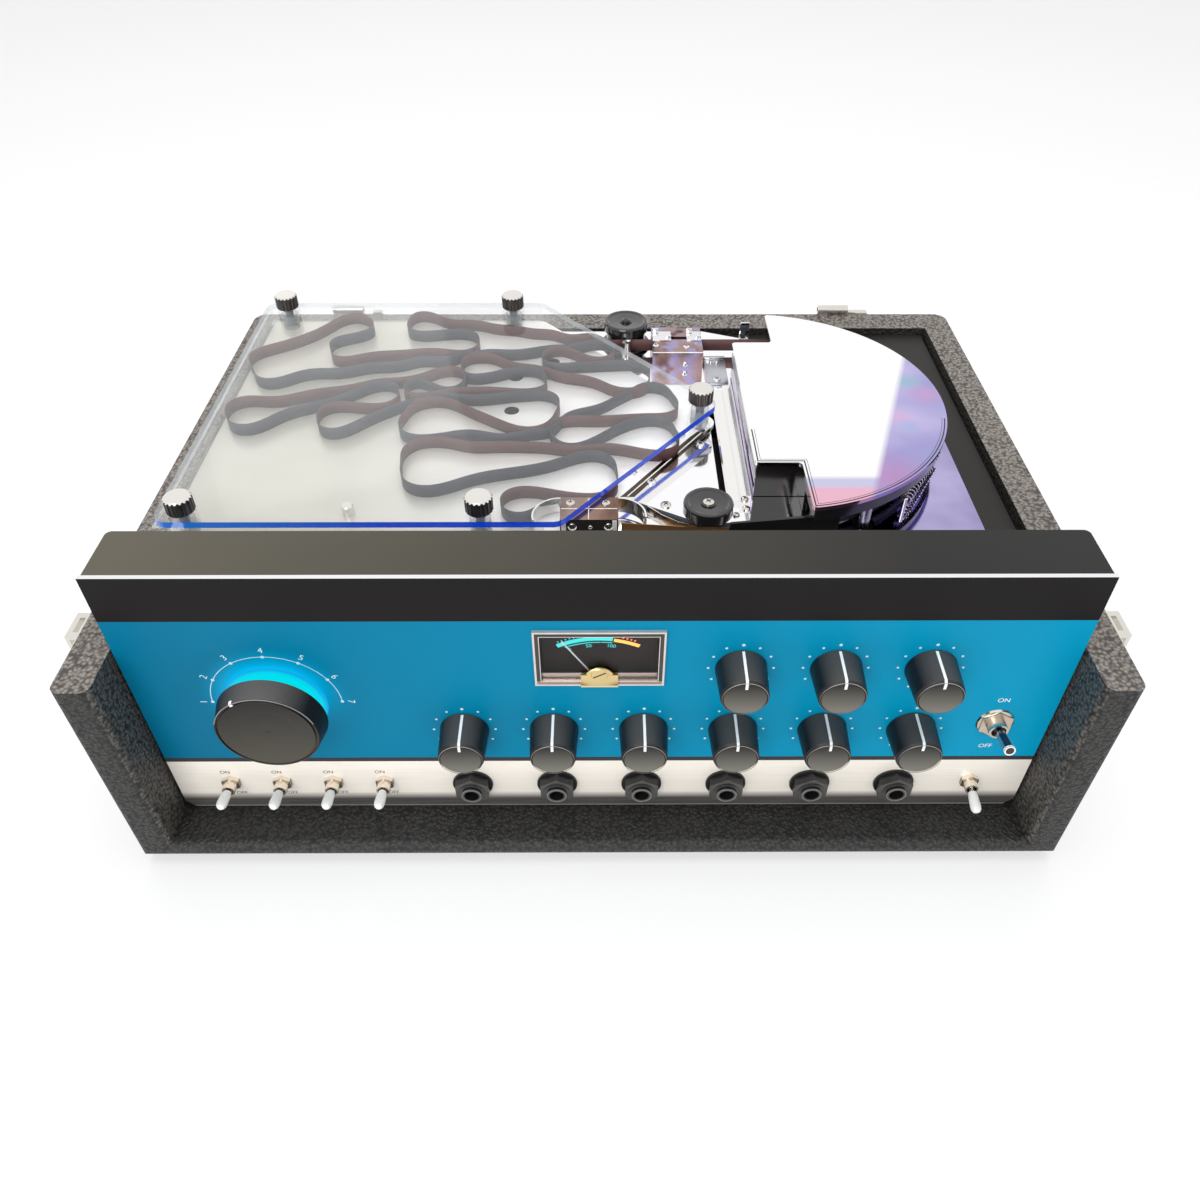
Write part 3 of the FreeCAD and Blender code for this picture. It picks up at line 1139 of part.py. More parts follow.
def drive():
    """Capstan shaft with its flywheel under the chassis, the motor, its pulley and the flat belt."""
    wheel_top = chassis_under - s.flywheel_gap
    shaft_top = tape_high + s.capstan_rise
    r = s.flywheel_radius
    sheet = s.flywheel_sheet
    shaft_h = shaft_top - wheel_top
    capstan = turned("capstan_body", "Z", [
        (0, -sheet), (r * 0.3, -sheet), (r * 0.3, -sheet * 0.7), (r * 0.8, -sheet * 0.7), (r * 0.8, -sheet),
        (r, -sheet), (r, 0), (r * 0.8, 0), (r * 0.8, -sheet * 0.3), (r * 0.3, -sheet * 0.3), (r * 0.3, 0),
        (s.capstan_radius, 0), (s.capstan_radius, shaft_h), (0, shaft_h)])
    node(place(capstan, capstan_x, capstan_y, wheel_top), "capstan_flywheel")

    motor_top = chassis_under
    can = rod("motor_can", "Z", s.motor_x, motor_y, motor_top - s.motor_length - sheet * 2, s.motor_radius,
              s.motor_length)
    reach = s.motor_radius * 0.8
    ears = [rod(f"motor_ear_{i}", "Z", x, y, motor_top - sheet * 2 - 1, s.deck_stud / 2, sheet * 2 + 1)
            for i, (x, y) in enumerate(((s.motor_x - reach, motor_y), (s.motor_x, motor_y + reach)))]
    bore = rod("motor_bore", "Z", s.motor_x, motor_y, motor_top - sheet * 2 - s.shaft_reach,
               s.shaft_radius + s.shaft_fit, s.shaft_reach * 2)
    node(cut("motor", fuse("motor_whole", can, *ears), bore), "drive_motor")

    pulley = turned("pulley_body", "Z", [
        (0, -s.shaft_reach * 0.8), (s.shaft_radius, -s.shaft_reach * 0.8), (s.shaft_radius, 1),
        (s.pulley_radius + 1.5, 1), (s.pulley_radius + 1.5, 2), (s.pulley_radius, 2.5),
        (s.pulley_radius, sheet * 1.3), (s.pulley_radius + 1.5, sheet * 1.35),
        (s.pulley_radius + 1.5, sheet * 1.45),
        (0, sheet * 1.45)])
    node(place(pulley, s.motor_x, motor_y, motor_top - sheet * 2), "motor_pulley")

    air = s.belt_air.value
    turns = [(capstan_x.value, capstan_y.value, r.value + air + s.belt_sheet.value / 2, 1),
             (s.motor_x.value, motor_y.value, s.pulley_radius.value + air + s.belt_sheet.value / 2, 1)]
    half = s.belt_sheet.value / 2
    wires = [tape_face_wire(turns, shift, 0) for shift in (-half, half)]
    wires.sort(key=lambda wire: Part.Face(wire).Area)
    band = Part.Face(wires[1]).cut(Part.Face(wires[0])).Faces[0]
    belt = doc.addObject("Part::Feature", "belt")
    belt.Shape = band.extrude(FreeCAD.Vector(0, 0, sheet.value * 0.6))
    place(belt, 0, 0, wheel_top - sheet * 0.8)
    return node(belt, "drive_belt")


def tape_guides():
    """Front block with its curved shoe, rear slotted block, polished rail, post and the exit channel."""
    low = deck_top
    tall = cover_low - s.roller_air - low
    rear_x = s.rear_roller_x + s.rear_flange_radius + s.roller_air * 3
    rear = box("rear_block", rear_x, back_y - s.rear_block_front, low, s.rear_block_length,
               s.rear_block_width, tall)
    rear_gap = box("rear_gap", rear_x - 1, back_y - s.guide_slot / 2, tape_low - s.tape_lift / 2,
                   s.rear_block_length + 2, s.guide_slot, tall)
    rear_guide = cut("rear_guide", rear, rear_gap)
    rail_x = s.head_centre_x - s.plate_left - s.rail_gap - s.rail_width
    rail_y = head_y - s.notch_front - s.rail_over
    rail_end = head_y + s.notch_rear - s.rail_short
    run = rail_end - rail_y
    bar = box("guide_bar", rail_x, rail_y, low, s.rail_width, run, tall * 0.5)
    strip = box("guide_strip", rail_x - s.rail_strip, rail_y, low, s.rail_strip, run, s.deck_sheet)
    rail = fuse("guide_rail", bar, strip)
    post_y = rear_roller_y - s.rear_flange_radius - s.roller_air - s.post_thin
    post = rod("rear_post", "Z", s.rear_roller_x, post_y, low, s.post_thin, tall)
    return node(group("guides", [front_guide(tall), rear_guide, rail, post, exit_channel()]), "tape_guides")


def front_guide(tall):
    """Block at the tray's front exit, with a polished shoe that flares round both ends behind it."""
    block = box("front_block", s.block_x, block_y, deck_top, s.block_length, s.block_width, tall)
    shoe_low = tape_low - s.tape_lift / 2
    shoe_tall = cover_low - s.roller_air - shoe_low
    left = arc_wall("shoe_left", s.block_x, shoe_y, shoe_low, s.shoe_radius, s.shoe_sheet, 90,
                    s.shoe_left_sweep, shoe_tall)
    right = arc_wall("shoe_right", s.block_x + s.block_length, shoe_y, shoe_low, s.shoe_radius, s.shoe_sheet,
                     90 - s.shoe_right_sweep.value, s.shoe_right_sweep, shoe_tall)
    return fuse("front_guide", block, left, right)


def exit_channel():
    """Slanted strip along the front of the tray tip that carries the tray's exit hardware."""
    body = new_body("channel_body")
    sketch = new_sketch(body, "XY_Plane", deck_top)
    run_x = s.cover_tip_x - s.cover_nose_x
    run_y = tip_y - tray_front
    x0, y0 = s.cover_nose_x + run_x * s.channel_start + s.block_gap, tray_front + run_y * s.channel_start
    x1, y1 = s.cover_nose_x + run_x * s.channel_end + s.block_gap, tray_front + run_y * s.channel_end
    polygon(sketch, [(x0, y0), (x0 + s.channel_across, y0 - s.channel_out),
                     (x1 + s.channel_across, y1 - s.channel_out), (x1, y1)])
    pad(body, sketch, s.deck_sheet)
    return body


def front_shield():
    """Thin plate across the front of the head bay, turned a little from the panel's line."""
    plate = box("front_shield", 0, 0, 0, s.shield_length, s.shield_sheet,
                s.plate_rise - s.skirt_band - s.deck_sheet - s.shield_air)
    return place(plate, s.shield_x, front_y - s.shield_front, deck_top, ((0, 0, 1), s.shield_turn.value))


# ---------------------------------------------------------------- pieces inside the case
def circuit_board():
    x0 = s.board_x - s.board_length / 2
    y0 = panel_front + s.board_back - s.board_width / 2
    board = box("board", x0, y0, floor_top + s.board_stand, s.board_length, s.board_width, s.board_sheet)
    stands = []
    for i, (u, v) in enumerate(((0, 0), (1, 0), (0, 1), (1, 1))):
        x = x0 + s.board_stand + (s.board_length - s.board_stand * 2) * u
        y = y0 + s.board_stand + (s.board_width - s.board_stand * 2) * v
        stands.append(rod(f"stand_{i}", "Z", x, y, floor_top, s.board_stand / 2, s.board_stand + 0.5))
    return node(fuse("board_whole", board, *stands), "circuit_board")


def power_transformer():
    size = s.transformer_size
    x = s.transformer_x - size / 2
    y = panel_front + s.transformer_back - size * 0.4
    foot = box("iron_foot", x - size * 0.15, y, floor_top, size * 1.3, size * 0.8, s.board_sheet)
    iron = box("iron", x, y + size * 0.2, floor_top, size, size * 0.4, size * 0.85)
    coil = box("coil", x + size * 0.17, y + size * 0.04, floor_top + size * 0.17, size * 0.66, size * 0.72,
               size * 0.5)
    return node(fuse("transformer", foot, iron, coil), "power_transformer")


def reverb_tank():
    body = new_body("tank_body")
    sketch = new_sketch(body, "XY_Plane", floor_top)
    x0 = s.tank_side_gap - inner_half
    y1 = rear_face - s.tank_rear_gap
    rectangle(sketch, x0, y1 - s.tank_width, x0 + s.tank_length, y1)
    pad(body, sketch, s.tank_tall)
    dress(body, "Fillet", s.deck_sheet, upright)
    return node(body, "reverb_tank")


def power_inlet():
    back = front + s.case_depth
    gap = s.panel_hole_gap
    half, rise = s.inlet_width / 2 - gap, s.inlet_tall / 2 - gap
    z = floor_top + s.inlet_height
    body = new_body("inlet_body")
    core = new_sketch(body, "XZ_Plane", -(back - s.inlet_depth + s.inlet_bezel))
    rectangle(core, s.inlet_x - half, z - rise, s.inlet_x + half, z + rise)
    pad(body, core, s.inlet_depth - s.inlet_bezel, reverse=True)
    bezel = new_sketch(body, "XZ_Plane", -back)
    edge = s.inlet_flange
    rectangle(bezel, s.inlet_x - half - edge, z - rise - edge, s.inlet_x + half + edge, z + rise + edge)
    pad(body, bezel, s.inlet_bezel, reverse=True)
    wall = s.inlet_wall
    mouth = new_sketch(body, "XZ_Plane", -(back + s.inlet_bezel))
    rectangle(mouth, s.inlet_x - half + wall, z - rise + wall, s.inlet_x + half - wall, z + rise - wall)
    pocket(body, mouth, s.inlet_depth - wall, reverse=True)
    return node(body, "power_inlet")


# ---------------------------------------------------------------- assembly and files
def build():
    for make in (case_shell, rubber_feet, latch_catches, lid_hinges, chassis, visor_hood, front_panel, meter,
                 controls, jack_sockets, toggles, deck_plate, tray, tray_cover, thumbscrews, tape_loop, rollers,
                 head_cover, head_bridge, tape_heads, pinch, pinch_spring, drive, tape_guides, circuit_board,
                 power_transformer, reverb_tank, power_inlet):
        make()
    doc.recompute()


def check():
    failed = [o.Name for o in doc.Objects if {"Invalid", "Error"} & set(o.State)]
    if failed:
        raise RuntimeError(f"failed objects: {failed}")
    for item in NODES:
        if item.Shape.isNull() or not item.Shape.isValid() or not item.Shape.Solids:
            raise RuntimeError(f"{item.Label}: no valid solid")


def write():
    os.makedirs("parts", exist_ok=True)
    for item in NODES:
        item.Shape.exportStep(os.path.join("parts", f"{item.Label}.step"))
        print(item.Label, len(item.Shape.Solids), round(item.Shape.Volume, 1))


build()
check()
write()
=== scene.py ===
"""Tape echo unit: finishes, printed marks, small hardware and the studio, over the fixed construction."""

import logging
import math
from dataclasses import dataclass
from enum import Enum
from typing import Iterable, Optional, Sequence, Union

import bmesh
import bpy
import numpy as np
from mathutils import Matrix, Vector


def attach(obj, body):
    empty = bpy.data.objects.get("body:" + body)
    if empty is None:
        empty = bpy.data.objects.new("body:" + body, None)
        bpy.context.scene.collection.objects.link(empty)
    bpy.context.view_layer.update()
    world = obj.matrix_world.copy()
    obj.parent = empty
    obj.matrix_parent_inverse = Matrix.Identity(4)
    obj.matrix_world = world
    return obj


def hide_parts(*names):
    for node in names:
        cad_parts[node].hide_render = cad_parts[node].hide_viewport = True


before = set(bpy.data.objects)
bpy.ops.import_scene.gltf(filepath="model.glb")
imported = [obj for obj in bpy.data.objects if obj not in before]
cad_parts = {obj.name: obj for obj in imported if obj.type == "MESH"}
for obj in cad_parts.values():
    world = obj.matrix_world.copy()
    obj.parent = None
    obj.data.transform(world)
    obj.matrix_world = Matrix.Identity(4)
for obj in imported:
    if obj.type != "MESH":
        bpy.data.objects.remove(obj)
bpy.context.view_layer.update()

LOG = logging.getLogger("tape_echo")
MM = 0.001
Number = Union[int, float]
Flat = tuple[float, float]
Colour = tuple[float, float, float]

# Places shared by several sub-assemblies, in millimetres in the object's frame.
PANEL_Y = -131.5
DECK_Z = 126.6
FLOOR_Z = 128.6
BLOCK_TOP_Z = 136.3
KNOB_STEP = 38.0
JACK_X = tuple(-57.5 + KNOB_STEP * i for i in range(6))
KNOB_X = tuple(56.5 + KNOB_STEP * i for i in range(3)) + JACK_X
KNOB_Z = (108.1,) * 3 + (70.1,) * 6
KNOB_FOOT_Z = 61.1
JACK_Z = 32.1
MODE_X, MODE_Z = -132.9, 88.3
MINI_X = (-166.0, -143.0, -120.0, -97.0)
OUTPUT_X = 166.5
LEVER_Y, LEVER_Z = -135.05, 33.6
POWER_PIVOT = (167.5, -134.385, 74.1)
HEAD_X, HEAD_Y = 78.0, 8.5
FRONT_ROLLER, REAR_ROLLER = (46.5, -66.0), (14.0, 97.0)

# How far prints stand off the surface under them, in millimetres.
INK = 0.04

WHITE = (1.0, 1.0, 1.0)
BLACK = (0.0, 0.0, 0.0)


# ------------------------------------------------------------------ shader helpers
class Sock:
    """A shader socket that can be used in arithmetic expressions."""

    def __init__(self, graph: "Graph", socket: bpy.types.NodeSocket) -> None:
        """Keep the socket and the graph it belongs to."""
        self.graph = graph
        self.socket = socket

    def math(self, operation: str, *others: Union["Sock", Number], clamp: bool = False) -> "Sock":
        """Add a Math node.

        Args:
            operation: name of the Math node's operation.
            others: further operands after this socket.
            clamp: keep the result between 0 and 1.

        Returns:
            The node's result.
        """
        inputs = {i: value for i, value in enumerate((self, *others))}
        return self.graph.node("ShaderNodeMath", {"operation": operation, "use_clamp": clamp}, inputs)

    def __add__(self, other: Union["Sock", Number]) -> "Sock":
        """Sum."""
        return self.math("ADD", other)

    __radd__ = __add__

    def __sub__(self, other: Union["Sock", Number]) -> "Sock":
        """Difference."""
        return self.math("SUBTRACT", other)

    def __rsub__(self, other: Number) -> "Sock":
        """Difference from a number."""
        return self.graph.node("ShaderNodeMath", {"operation": "SUBTRACT"}, {0: other, 1: self})

    def __mul__(self, other: Union["Sock", Number]) -> "Sock":
        """Product."""
        return self.math("MULTIPLY", other)

    __rmul__ = __mul__

    def __truediv__(self, other: Union["Sock", Number]) -> "Sock":
        """Quotient."""
        return self.math("DIVIDE", other)

    def __pow__(self, other: Number) -> "Sock":
        """Power."""
        return self.math("POWER", other)

    def above(self, level: Number) -> "Sock":
        """1 where the value is above a level, else 0."""
        return self.math("GREATER_THAN", level)

    def below(self, level: Number) -> "Sock":
        """1 where the value is below a level, else 0."""
        return self.math("LESS_THAN", level)

    def ramp(self, low: Number, high: Number, start: Number = 0.0, end: Number = 1.0) -> "Sock":
        """Clamped linear change from start at low to end at high."""
        return self.graph.node("ShaderNodeMapRange", {"clamp": True},
                               {"Value": self, "From Min": low, "From Max": high, "To Min": start, "To Max": end})


Value = Union[Sock, Number, Sequence[float]]


class Graph:
    """Node tree of a material or a world, started empty with its output node."""

    def __init__(self, owner: Union[bpy.types.Material, bpy.types.World], output: str) -> None:
        """Clear the owner's tree and add the output node of that type."""
        owner.use_nodes = True
        self.owner = owner
        self.tree = owner.node_tree
        self.tree.nodes.clear()
        self.output = self.tree.nodes.new(output)

    def node(self, kind: str, settings: Optional[dict] = None, inputs: Optional[dict] = None,
             output: Union[int, str] = 0) -> Sock:
        """Add any node.

        Args:
            kind: the node's type name.
            settings: its own properties, set first.
            inputs: values or sockets by input name or number.
            output: which of its outputs to hand back.

        Returns:
            The chosen output.
        """
        made = self.tree.nodes.new(kind)
        for key, value in (settings or {}).items():
            setattr(made, key, value)
        for key, value in (inputs or {}).items():
            self.feed(made.inputs[key], value)
        return Sock(self, made.outputs[output])

    def feed(self, socket: bpy.types.NodeSocket, value: Value) -> None:
        """Link or set one input."""
        if isinstance(value, Sock):
            self.tree.links.new(value.socket, socket)
        elif isinstance(value, (int, float)):
            socket.default_value = value
        else:
            values = tuple(value)
            size = len(socket.default_value)
            socket.default_value = values + (1.0,) * (size - len(values))

    def show(self, shader: Sock) -> None:
        """Make a shader the one that the output shows."""
        self.feed(self.output.inputs["Surface"], shader)

    def ray(self, kind: str) -> Sock:
        """1 for light rays of one kind, such as Camera or Glossy."""
        return self.node("ShaderNodeLightPath", output=f"Is {kind} Ray")

    def coords(self) -> Sock:
        """Object coordinates."""
        return self.node("ShaderNodeTexCoord", output="Object")

    def axis(self, name: str) -> Sock:
        """One object coordinate, in metres."""
        return self.node("ShaderNodeSeparateXYZ", None, {0: self.coords()}, name)

    def mm(self, name: str) -> Sock:
        """One object coordinate, in millimetres."""
        return self.axis(name) * 1000.0

    def slant(self) -> Sock:
        """0 where a face is seen square on, 1 where it is seen edge on."""
        return self.node("ShaderNodeLayerWeight", None, {"Blend": 0.5}, "Facing")

    def away(self, x: float, z: float) -> tuple[Sock, Sock]:
        """Height over a point of the panel, and distance from it, in millimetres."""
        across, up = (self.axis("X") - x * MM) * 1000.0, (self.axis("Z") - z * MM) * 1000.0
        return up, (across * across + up * up) ** 0.5

    def facing(self, name: str) -> Sock:
        """One component of the outward normal, also where a face is seen from its inner side."""
        normal = self.node("ShaderNodeNewGeometry", output="Normal")
        inside = self.node("ShaderNodeNewGeometry", output="Backfacing")
        return self.node("ShaderNodeSeparateXYZ", None, {0: normal}, name) * (1.0 - 2.0 * inside)

    def noise(self, scale: float, detail: float = 3.0, rough: float = 0.55,
              stretch: Sequence[float] = (1.0, 1.0, 1.0)) -> Sock:
        """Noise between 0 and 1, with its features drawn out along an axis by stretch."""
        place = self.node("ShaderNodeMapping", None, {"Vector": self.coords(), "Scale": stretch})
        return self.node("ShaderNodeTexNoise", None,
                         {"Vector": place, "Scale": scale, "Detail": detail, "Roughness": rough})

    def blend(self, factor: Value, first: Value, second: Value) -> Sock:
        """Mix of two colours."""
        made = self.tree.nodes.new("ShaderNodeMix")
        made.data_type = "RGBA"
        self.feed(made.inputs[0], factor)
        self.feed(made.inputs[6], first)
        self.feed(made.inputs[7], second)
        return Sock(self, made.outputs[2])

    def bump(self, height: Sock, distance: float, strength: float = 1.0) -> Sock:
        """Normal from a height between 0 and 1 times a distance in metres."""
        return self.node("ShaderNodeBump", None, {"Height": height, "Distance": distance, "Strength": strength})


class Surface(Graph):
    """Node tree of one material with its Principled shader."""

    def __init__(self, name: str) -> None:
        """Start an empty material of that name."""
        super().__init__(bpy.data.materials.new(name), "ShaderNodeOutputMaterial")
        self.shader = self.tree.nodes.new("ShaderNodeBsdfPrincipled")
        self.show(Sock(self, self.shader.outputs[0]))

    def dress(self, **sockets: Value) -> bpy.types.Material:
        """Feed the Principled shader, with underscores for the spaces in its socket names."""
        for key, value in sockets.items():
            self.feed(self.shader.inputs[key.replace("_", " ")], value)
        return self.owner


def linear(red: int, green: int, blue: int) -> Colour:
    """Linear colour of an 8-bit display colour."""
    return tuple(((c / 255 + 0.055) / 1.055) ** 2.4 if c > 10 else c / 255 / 12.92 for c in (red, green, blue))


# ------------------------------------------------------------------ finishes
class Grain(Enum):
    """Direction of the brushing on a metal."""

    NONE = (1.0, 1.0, 1.0)
    ALONG_X = (0.02, 1.0, 1.0)
    ALONG_Y = (1.0, 0.02, 1.0)
    ALONG_Z = (1.0, 1.0, 0.02)


@dataclass(frozen=True)
class Metal:
    """Bare or plated metal with fine brushing and faint handling marks."""

    name: str
    colour: Colour
    rough: float = 0.2
    grain: Grain = Grain.NONE
    depth: float = 0.00001

    def material(self) -> bpy.types.Material:
        """Build the shader."""
        g = Surface(self.name)
        lines = g.noise(1800.0, 2.0, 0.6, self.grain.value)
        smear = g.noise(22.0, 3.0, 0.6)
        rough = self.rough * (0.8 + 0.3 * lines + 0.25 * smear)
        tone = g.blend(smear.ramp(0.35, 0.75), self.colour, tuple(c * 0.86 for c in self.colour))
        normal = g.bump(lines, self.depth, 0.6)
        return g.dress(Base_Color=tone, Metallic=1.0, Roughness=rough, Normal=normal)


@dataclass(frozen=True)
class Paint:
    """Painted or moulded surface with a fine texture and slightly uneven gloss."""

    name: str
    colour: Colour
    rough: float = 0.4
    texture: float = 900.0
    depth: float = 0.00002
    coat: float = 0.0
    gloss: float = 0.5

    def material(self) -> bpy.types.Material:
        """Build the shader."""
        g = Surface(self.name)
        fine = g.noise(self.texture, 3.0, 0.6)
        broad = g.noise(18.0, 3.0, 0.6)
        tone = g.blend(broad.ramp(0.3, 0.8), self.colour, tuple(min(1.0, c * 1.25 + 0.004) for c in self.colour))
        rough = (self.rough * (0.85 + 0.3 * broad)).math("MINIMUM", 1.0)
        return g.dress(Base_Color=tone, Roughness=rough, Normal=g.bump(fine, self.depth),
                       Coat_Weight=self.coat, Coat_Roughness=0.12, Specular_IOR_Level=self.gloss)


@dataclass(frozen=True)
class VisorPaint:
    """Satin black steel of the visor, with a painted sheen on its upward faces, paler towards its left end and
    mottled.
    """

    name: str = "visor_black"

    def material(self) -> bpy.types.Material:
        """Build the shader."""
        g = Surface(self.name)
        fine = g.noise(1200.0, 3.0, 0.6)
        sheen_mottle = g.noise(14.0, 4.0, 0.6, (0.4, 1.0, 1.0))
        # painted sheen: upward faces are paler towards the left end, mottled by noise
        pale = g.axis("X").ramp(-0.19, 0.12, 1.0, 0.0) * g.facing("Z").above(0.7)
        tone = g.blend(pale * (0.75 + 0.5 * sheen_mottle), (0.012, 0.0115, 0.011), (0.084, 0.076, 0.056))
        return g.dress(Base_Color=tone, Roughness=0.40 + 0.08 * sheen_mottle, Normal=g.bump(fine, 0.000012),
                       Specular_IOR_Level=0.25)


@dataclass(frozen=True)
class Covering:
    """Pebbled black cloth covering: rounded grains with creases between, glossier on their tops; painted sheen
    lightens the grain tops, the top rims and the front of the flanks, and painted shade darkens the creases.
    """

    name: str = "pebbled_covering"
    grain: float = 640.0
    depth: float = 0.0005

    def material(self) -> bpy.types.Material:
        """Build the shader."""
        g = Surface(self.name)
        warp = g.noise(300.0, 2.0, 0.5)
        shifted = g.node("ShaderNodeVectorMath", {"operation": "MULTIPLY_ADD"},
                         {0: g.node("ShaderNodeCombineXYZ", None, {0: warp, 1: warp, 2: warp}),
                          1: (0.0018, 0.0018, 0.0018), 2: g.coords()})
        cells = g.node("ShaderNodeTexVoronoi", {"feature": "SMOOTH_F1"},
                       {"Vector": shifted, "Scale": self.grain, "Smoothness": 0.35}, "Distance")
        height = 1.0 - cells.ramp(0.05, 0.75)
        creases = g.noise(120.0, 3.0, 0.6)
        # painted sheen: upward faces of the top rims, and side flanks towards the front, are lighter
        top = g.facing("Z").above(0.6) * g.axis("Z").ramp(0.03, 0.09)
        flank_sheen = g.facing("X").math("ABSOLUTE").above(0.6) * g.axis("Y").ramp(-0.145, -0.06, 1.0, 0.25)
        rim_sheen_mottle = g.noise(9.0, 4.0, 0.65).ramp(0.35, 0.75)
        grain = g.blend(flank_sheen, (0.040, 0.037, 0.034), (0.15, 0.135, 0.118))
        grain = g.blend(top * (0.8 + 0.2 * rim_sheen_mottle), grain, (0.35, 0.31, 0.275))
        # painted shade darkens the creases between grains; painted highlight lightens the grain tops
        crease_shade = g.blend(top, (0.006, 0.006, 0.006), (0.052, 0.046, 0.041))
        tone = g.blend(height, crease_shade, grain)
        rough = 0.60 - 0.22 * height + 0.1 * creases
        return g.dress(Base_Color=tone, Roughness=rough, Specular_IOR_Level=0.5,
                       Normal=g.bump(height * 0.85 + creases * 0.15, self.depth))


@dataclass(frozen=True)
class PanelPrint:
    """Front panel: black header, blue field, dark rule and bare warm strip, with bright cut edges; the strip's dark
    lower part is a painted reflection of the case floor.
    """

    header: float = 134.5
    rule_top: float = 50.8
    rule_low: float = 48.1
    foot: float = 15.7
    glow_radius: float = 20.5
    glow_reach: float = 14.0

    def material(self) -> bpy.types.Material:
        """Build the shader."""
        g = Surface("panel_print")
        x, z = g.axis("X"), g.axis("Z")
        drift = g.noise(7.0, 2.0, 0.5)
        blue = g.blend(x.ramp(-0.17, 0.19) * 0.85 + drift * 0.15, linear(0, 105, 140), linear(0, 158, 200))
        blue = g.blend(z.ramp(self.rule_top * MM, self.header * MM) * 0.25, blue, linear(0, 116, 154))
        lines = g.noise(1500.0, 2.0, 0.6, Grain.ALONG_X.value)
        # painted reflection of the black case floor: the bare strip is dark towards its foot
        height = z.ramp(20.5 * MM, 25.5 * MM)
        strip = g.blend(lines * 0.15 + height * 0.85, (0.050, 0.048, 0.051), (1.0, 0.94, 0.85))
        in_strip = z.below(self.rule_low * MM)
        in_head = z.above(self.header * MM)
        in_rule = z.below(self.rule_top * MM) * (1.0 - in_strip)
        face = g.blend(in_strip, blue, strip)
        face = g.blend(in_rule, face, linear(58, 60, 64))
        face = g.blend(in_head, face, linear(30, 28, 28))
        face = g.blend(z.below(self.foot * MM) * 0.7, face, (0.42, 0.41, 0.41))
        edge = 1.0 - g.facing("Y").below(-0.5)
        tone = g.blend(edge, face, (0.82, 0.83, 0.85))
        metal = (in_strip * (0.3 - 0.2 * height)).math("MAXIMUM", edge * 0.85)
        rough = 0.36 + 0.08 * drift - in_strip * (0.2 - 0.06 * lines)
        away_z, radius = g.away(MODE_X, MODE_Z)
        halo = radius.ramp(self.glow_radius, self.glow_radius + self.glow_reach, 1.0, 0.0) ** 2.2
        upper = (away_z / radius).ramp(-0.6, 0.9, 0.25, 1.0)
        glow = halo * upper * (1.0 - edge)
        light = g.blend(glow, BLACK, (0.0, 0.46, 0.82))
        light = g.blend(radius.below(self.glow_radius - 0.5) * (1.0 - edge), light, (0.0, 0.90, 1.0))
        return g.dress(Base_Color=tone, Metallic=metal, Roughness=rough, Normal=g.bump(lines, 0.000004),
                       Emission_Color=light, Emission_Strength=0.8, Specular_IOR_Level=0.08)


@dataclass(frozen=True)
class ClearPlastic:
    """Clear acrylic: its broad faces only mirror, and its cut edges gather light, blue or milky."""

    name: str
    blue_front: bool = False
    haze: float = 0.03

    def material(self) -> bpy.types.Material:
        """Build the shader."""
        g = Surface(self.name)
        rim = g.facing("Z").math("ABSOLUTE").below(0.7)
        flat = 1.0 - rim
        smear = g.noise(9.0, 4.0, 0.6, (1.0, 0.35, 1.0))
        slant = g.slant()
        gloss = 0.05 + 0.9 * slant ** 5
        tone = g.blend(rim, (0.96, 0.97, 0.98), (0.70, 0.76, 0.80))
        alpha = (gloss + smear.ramp(0.42, 0.8) * self.haze + rim * 0.34).math("MINIMUM", 1.0)
        light: Value = BLACK
        if self.blue_front:
            front = g.facing("Y").below(-0.3) * rim
            left = g.axis("X").ramp(-0.19, -0.09, 1.0, 0.0)
            tone = g.blend(front, tone, (0.003, 0.035, 0.38))
            alpha = alpha.math("MAXIMUM", front * 0.97)
            glow = g.blend(left, (0.0, 0.03, 0.34), (0.01, 0.14, 0.36))
            light = g.blend(front, BLACK, glow)
        return g.dress(Base_Color=tone, Metallic=flat, Roughness=0.03 + 0.04 * smear, Alpha=alpha,
                       Emission_Color=light, Emission_Strength=0.9, IOR=1.49)


@dataclass(frozen=True)
class Pane:
    """Clear pane that only mirrors a little at a slant."""

    name: str = "clear_pane"

    def material(self) -> bpy.types.Material:
        """Build the shader."""
        g = Surface(self.name)
        slant = g.slant()
        smear = g.noise(40.0, 3.0, 0.6)
        alpha = (0.012 + 0.6 * slant ** 5 + smear.ramp(0.5, 0.9) * 0.01).math("MINIMUM", 1.0)
        return g.dress(Base_Color=(0.97, 0.97, 0.97), Metallic=1.0, Roughness=0.03 + 0.03 * smear, Alpha=alpha)


@dataclass(frozen=True)
class Knurled:
    """Turned screw head: bright faced top, sides painted darker as the shade of their fine upright knurling."""

    name: str = "knurled_steel"

    def material(self) -> bpy.types.Material:
        """Build the shader."""
        g = Surface(self.name)
        top = g.facing("Z").above(0.7)
        lines = g.noise(1400.0, 2.0, 0.5, (1.0, 1.0, 0.03))
        smear = g.noise(60.0, 3.0, 0.6)
        # painted shade: the knurled sides are dark, the top bright
        tone = g.blend(top, (0.10, 0.09, 0.085), (0.80, 0.77, 0.73))
        rough = 0.2 + 0.12 * smear + 0.1 * lines
        return g.dress(Base_Color=tone, Metallic=1.0, Roughness=rough, Normal=g.bump(lines, 0.00008))


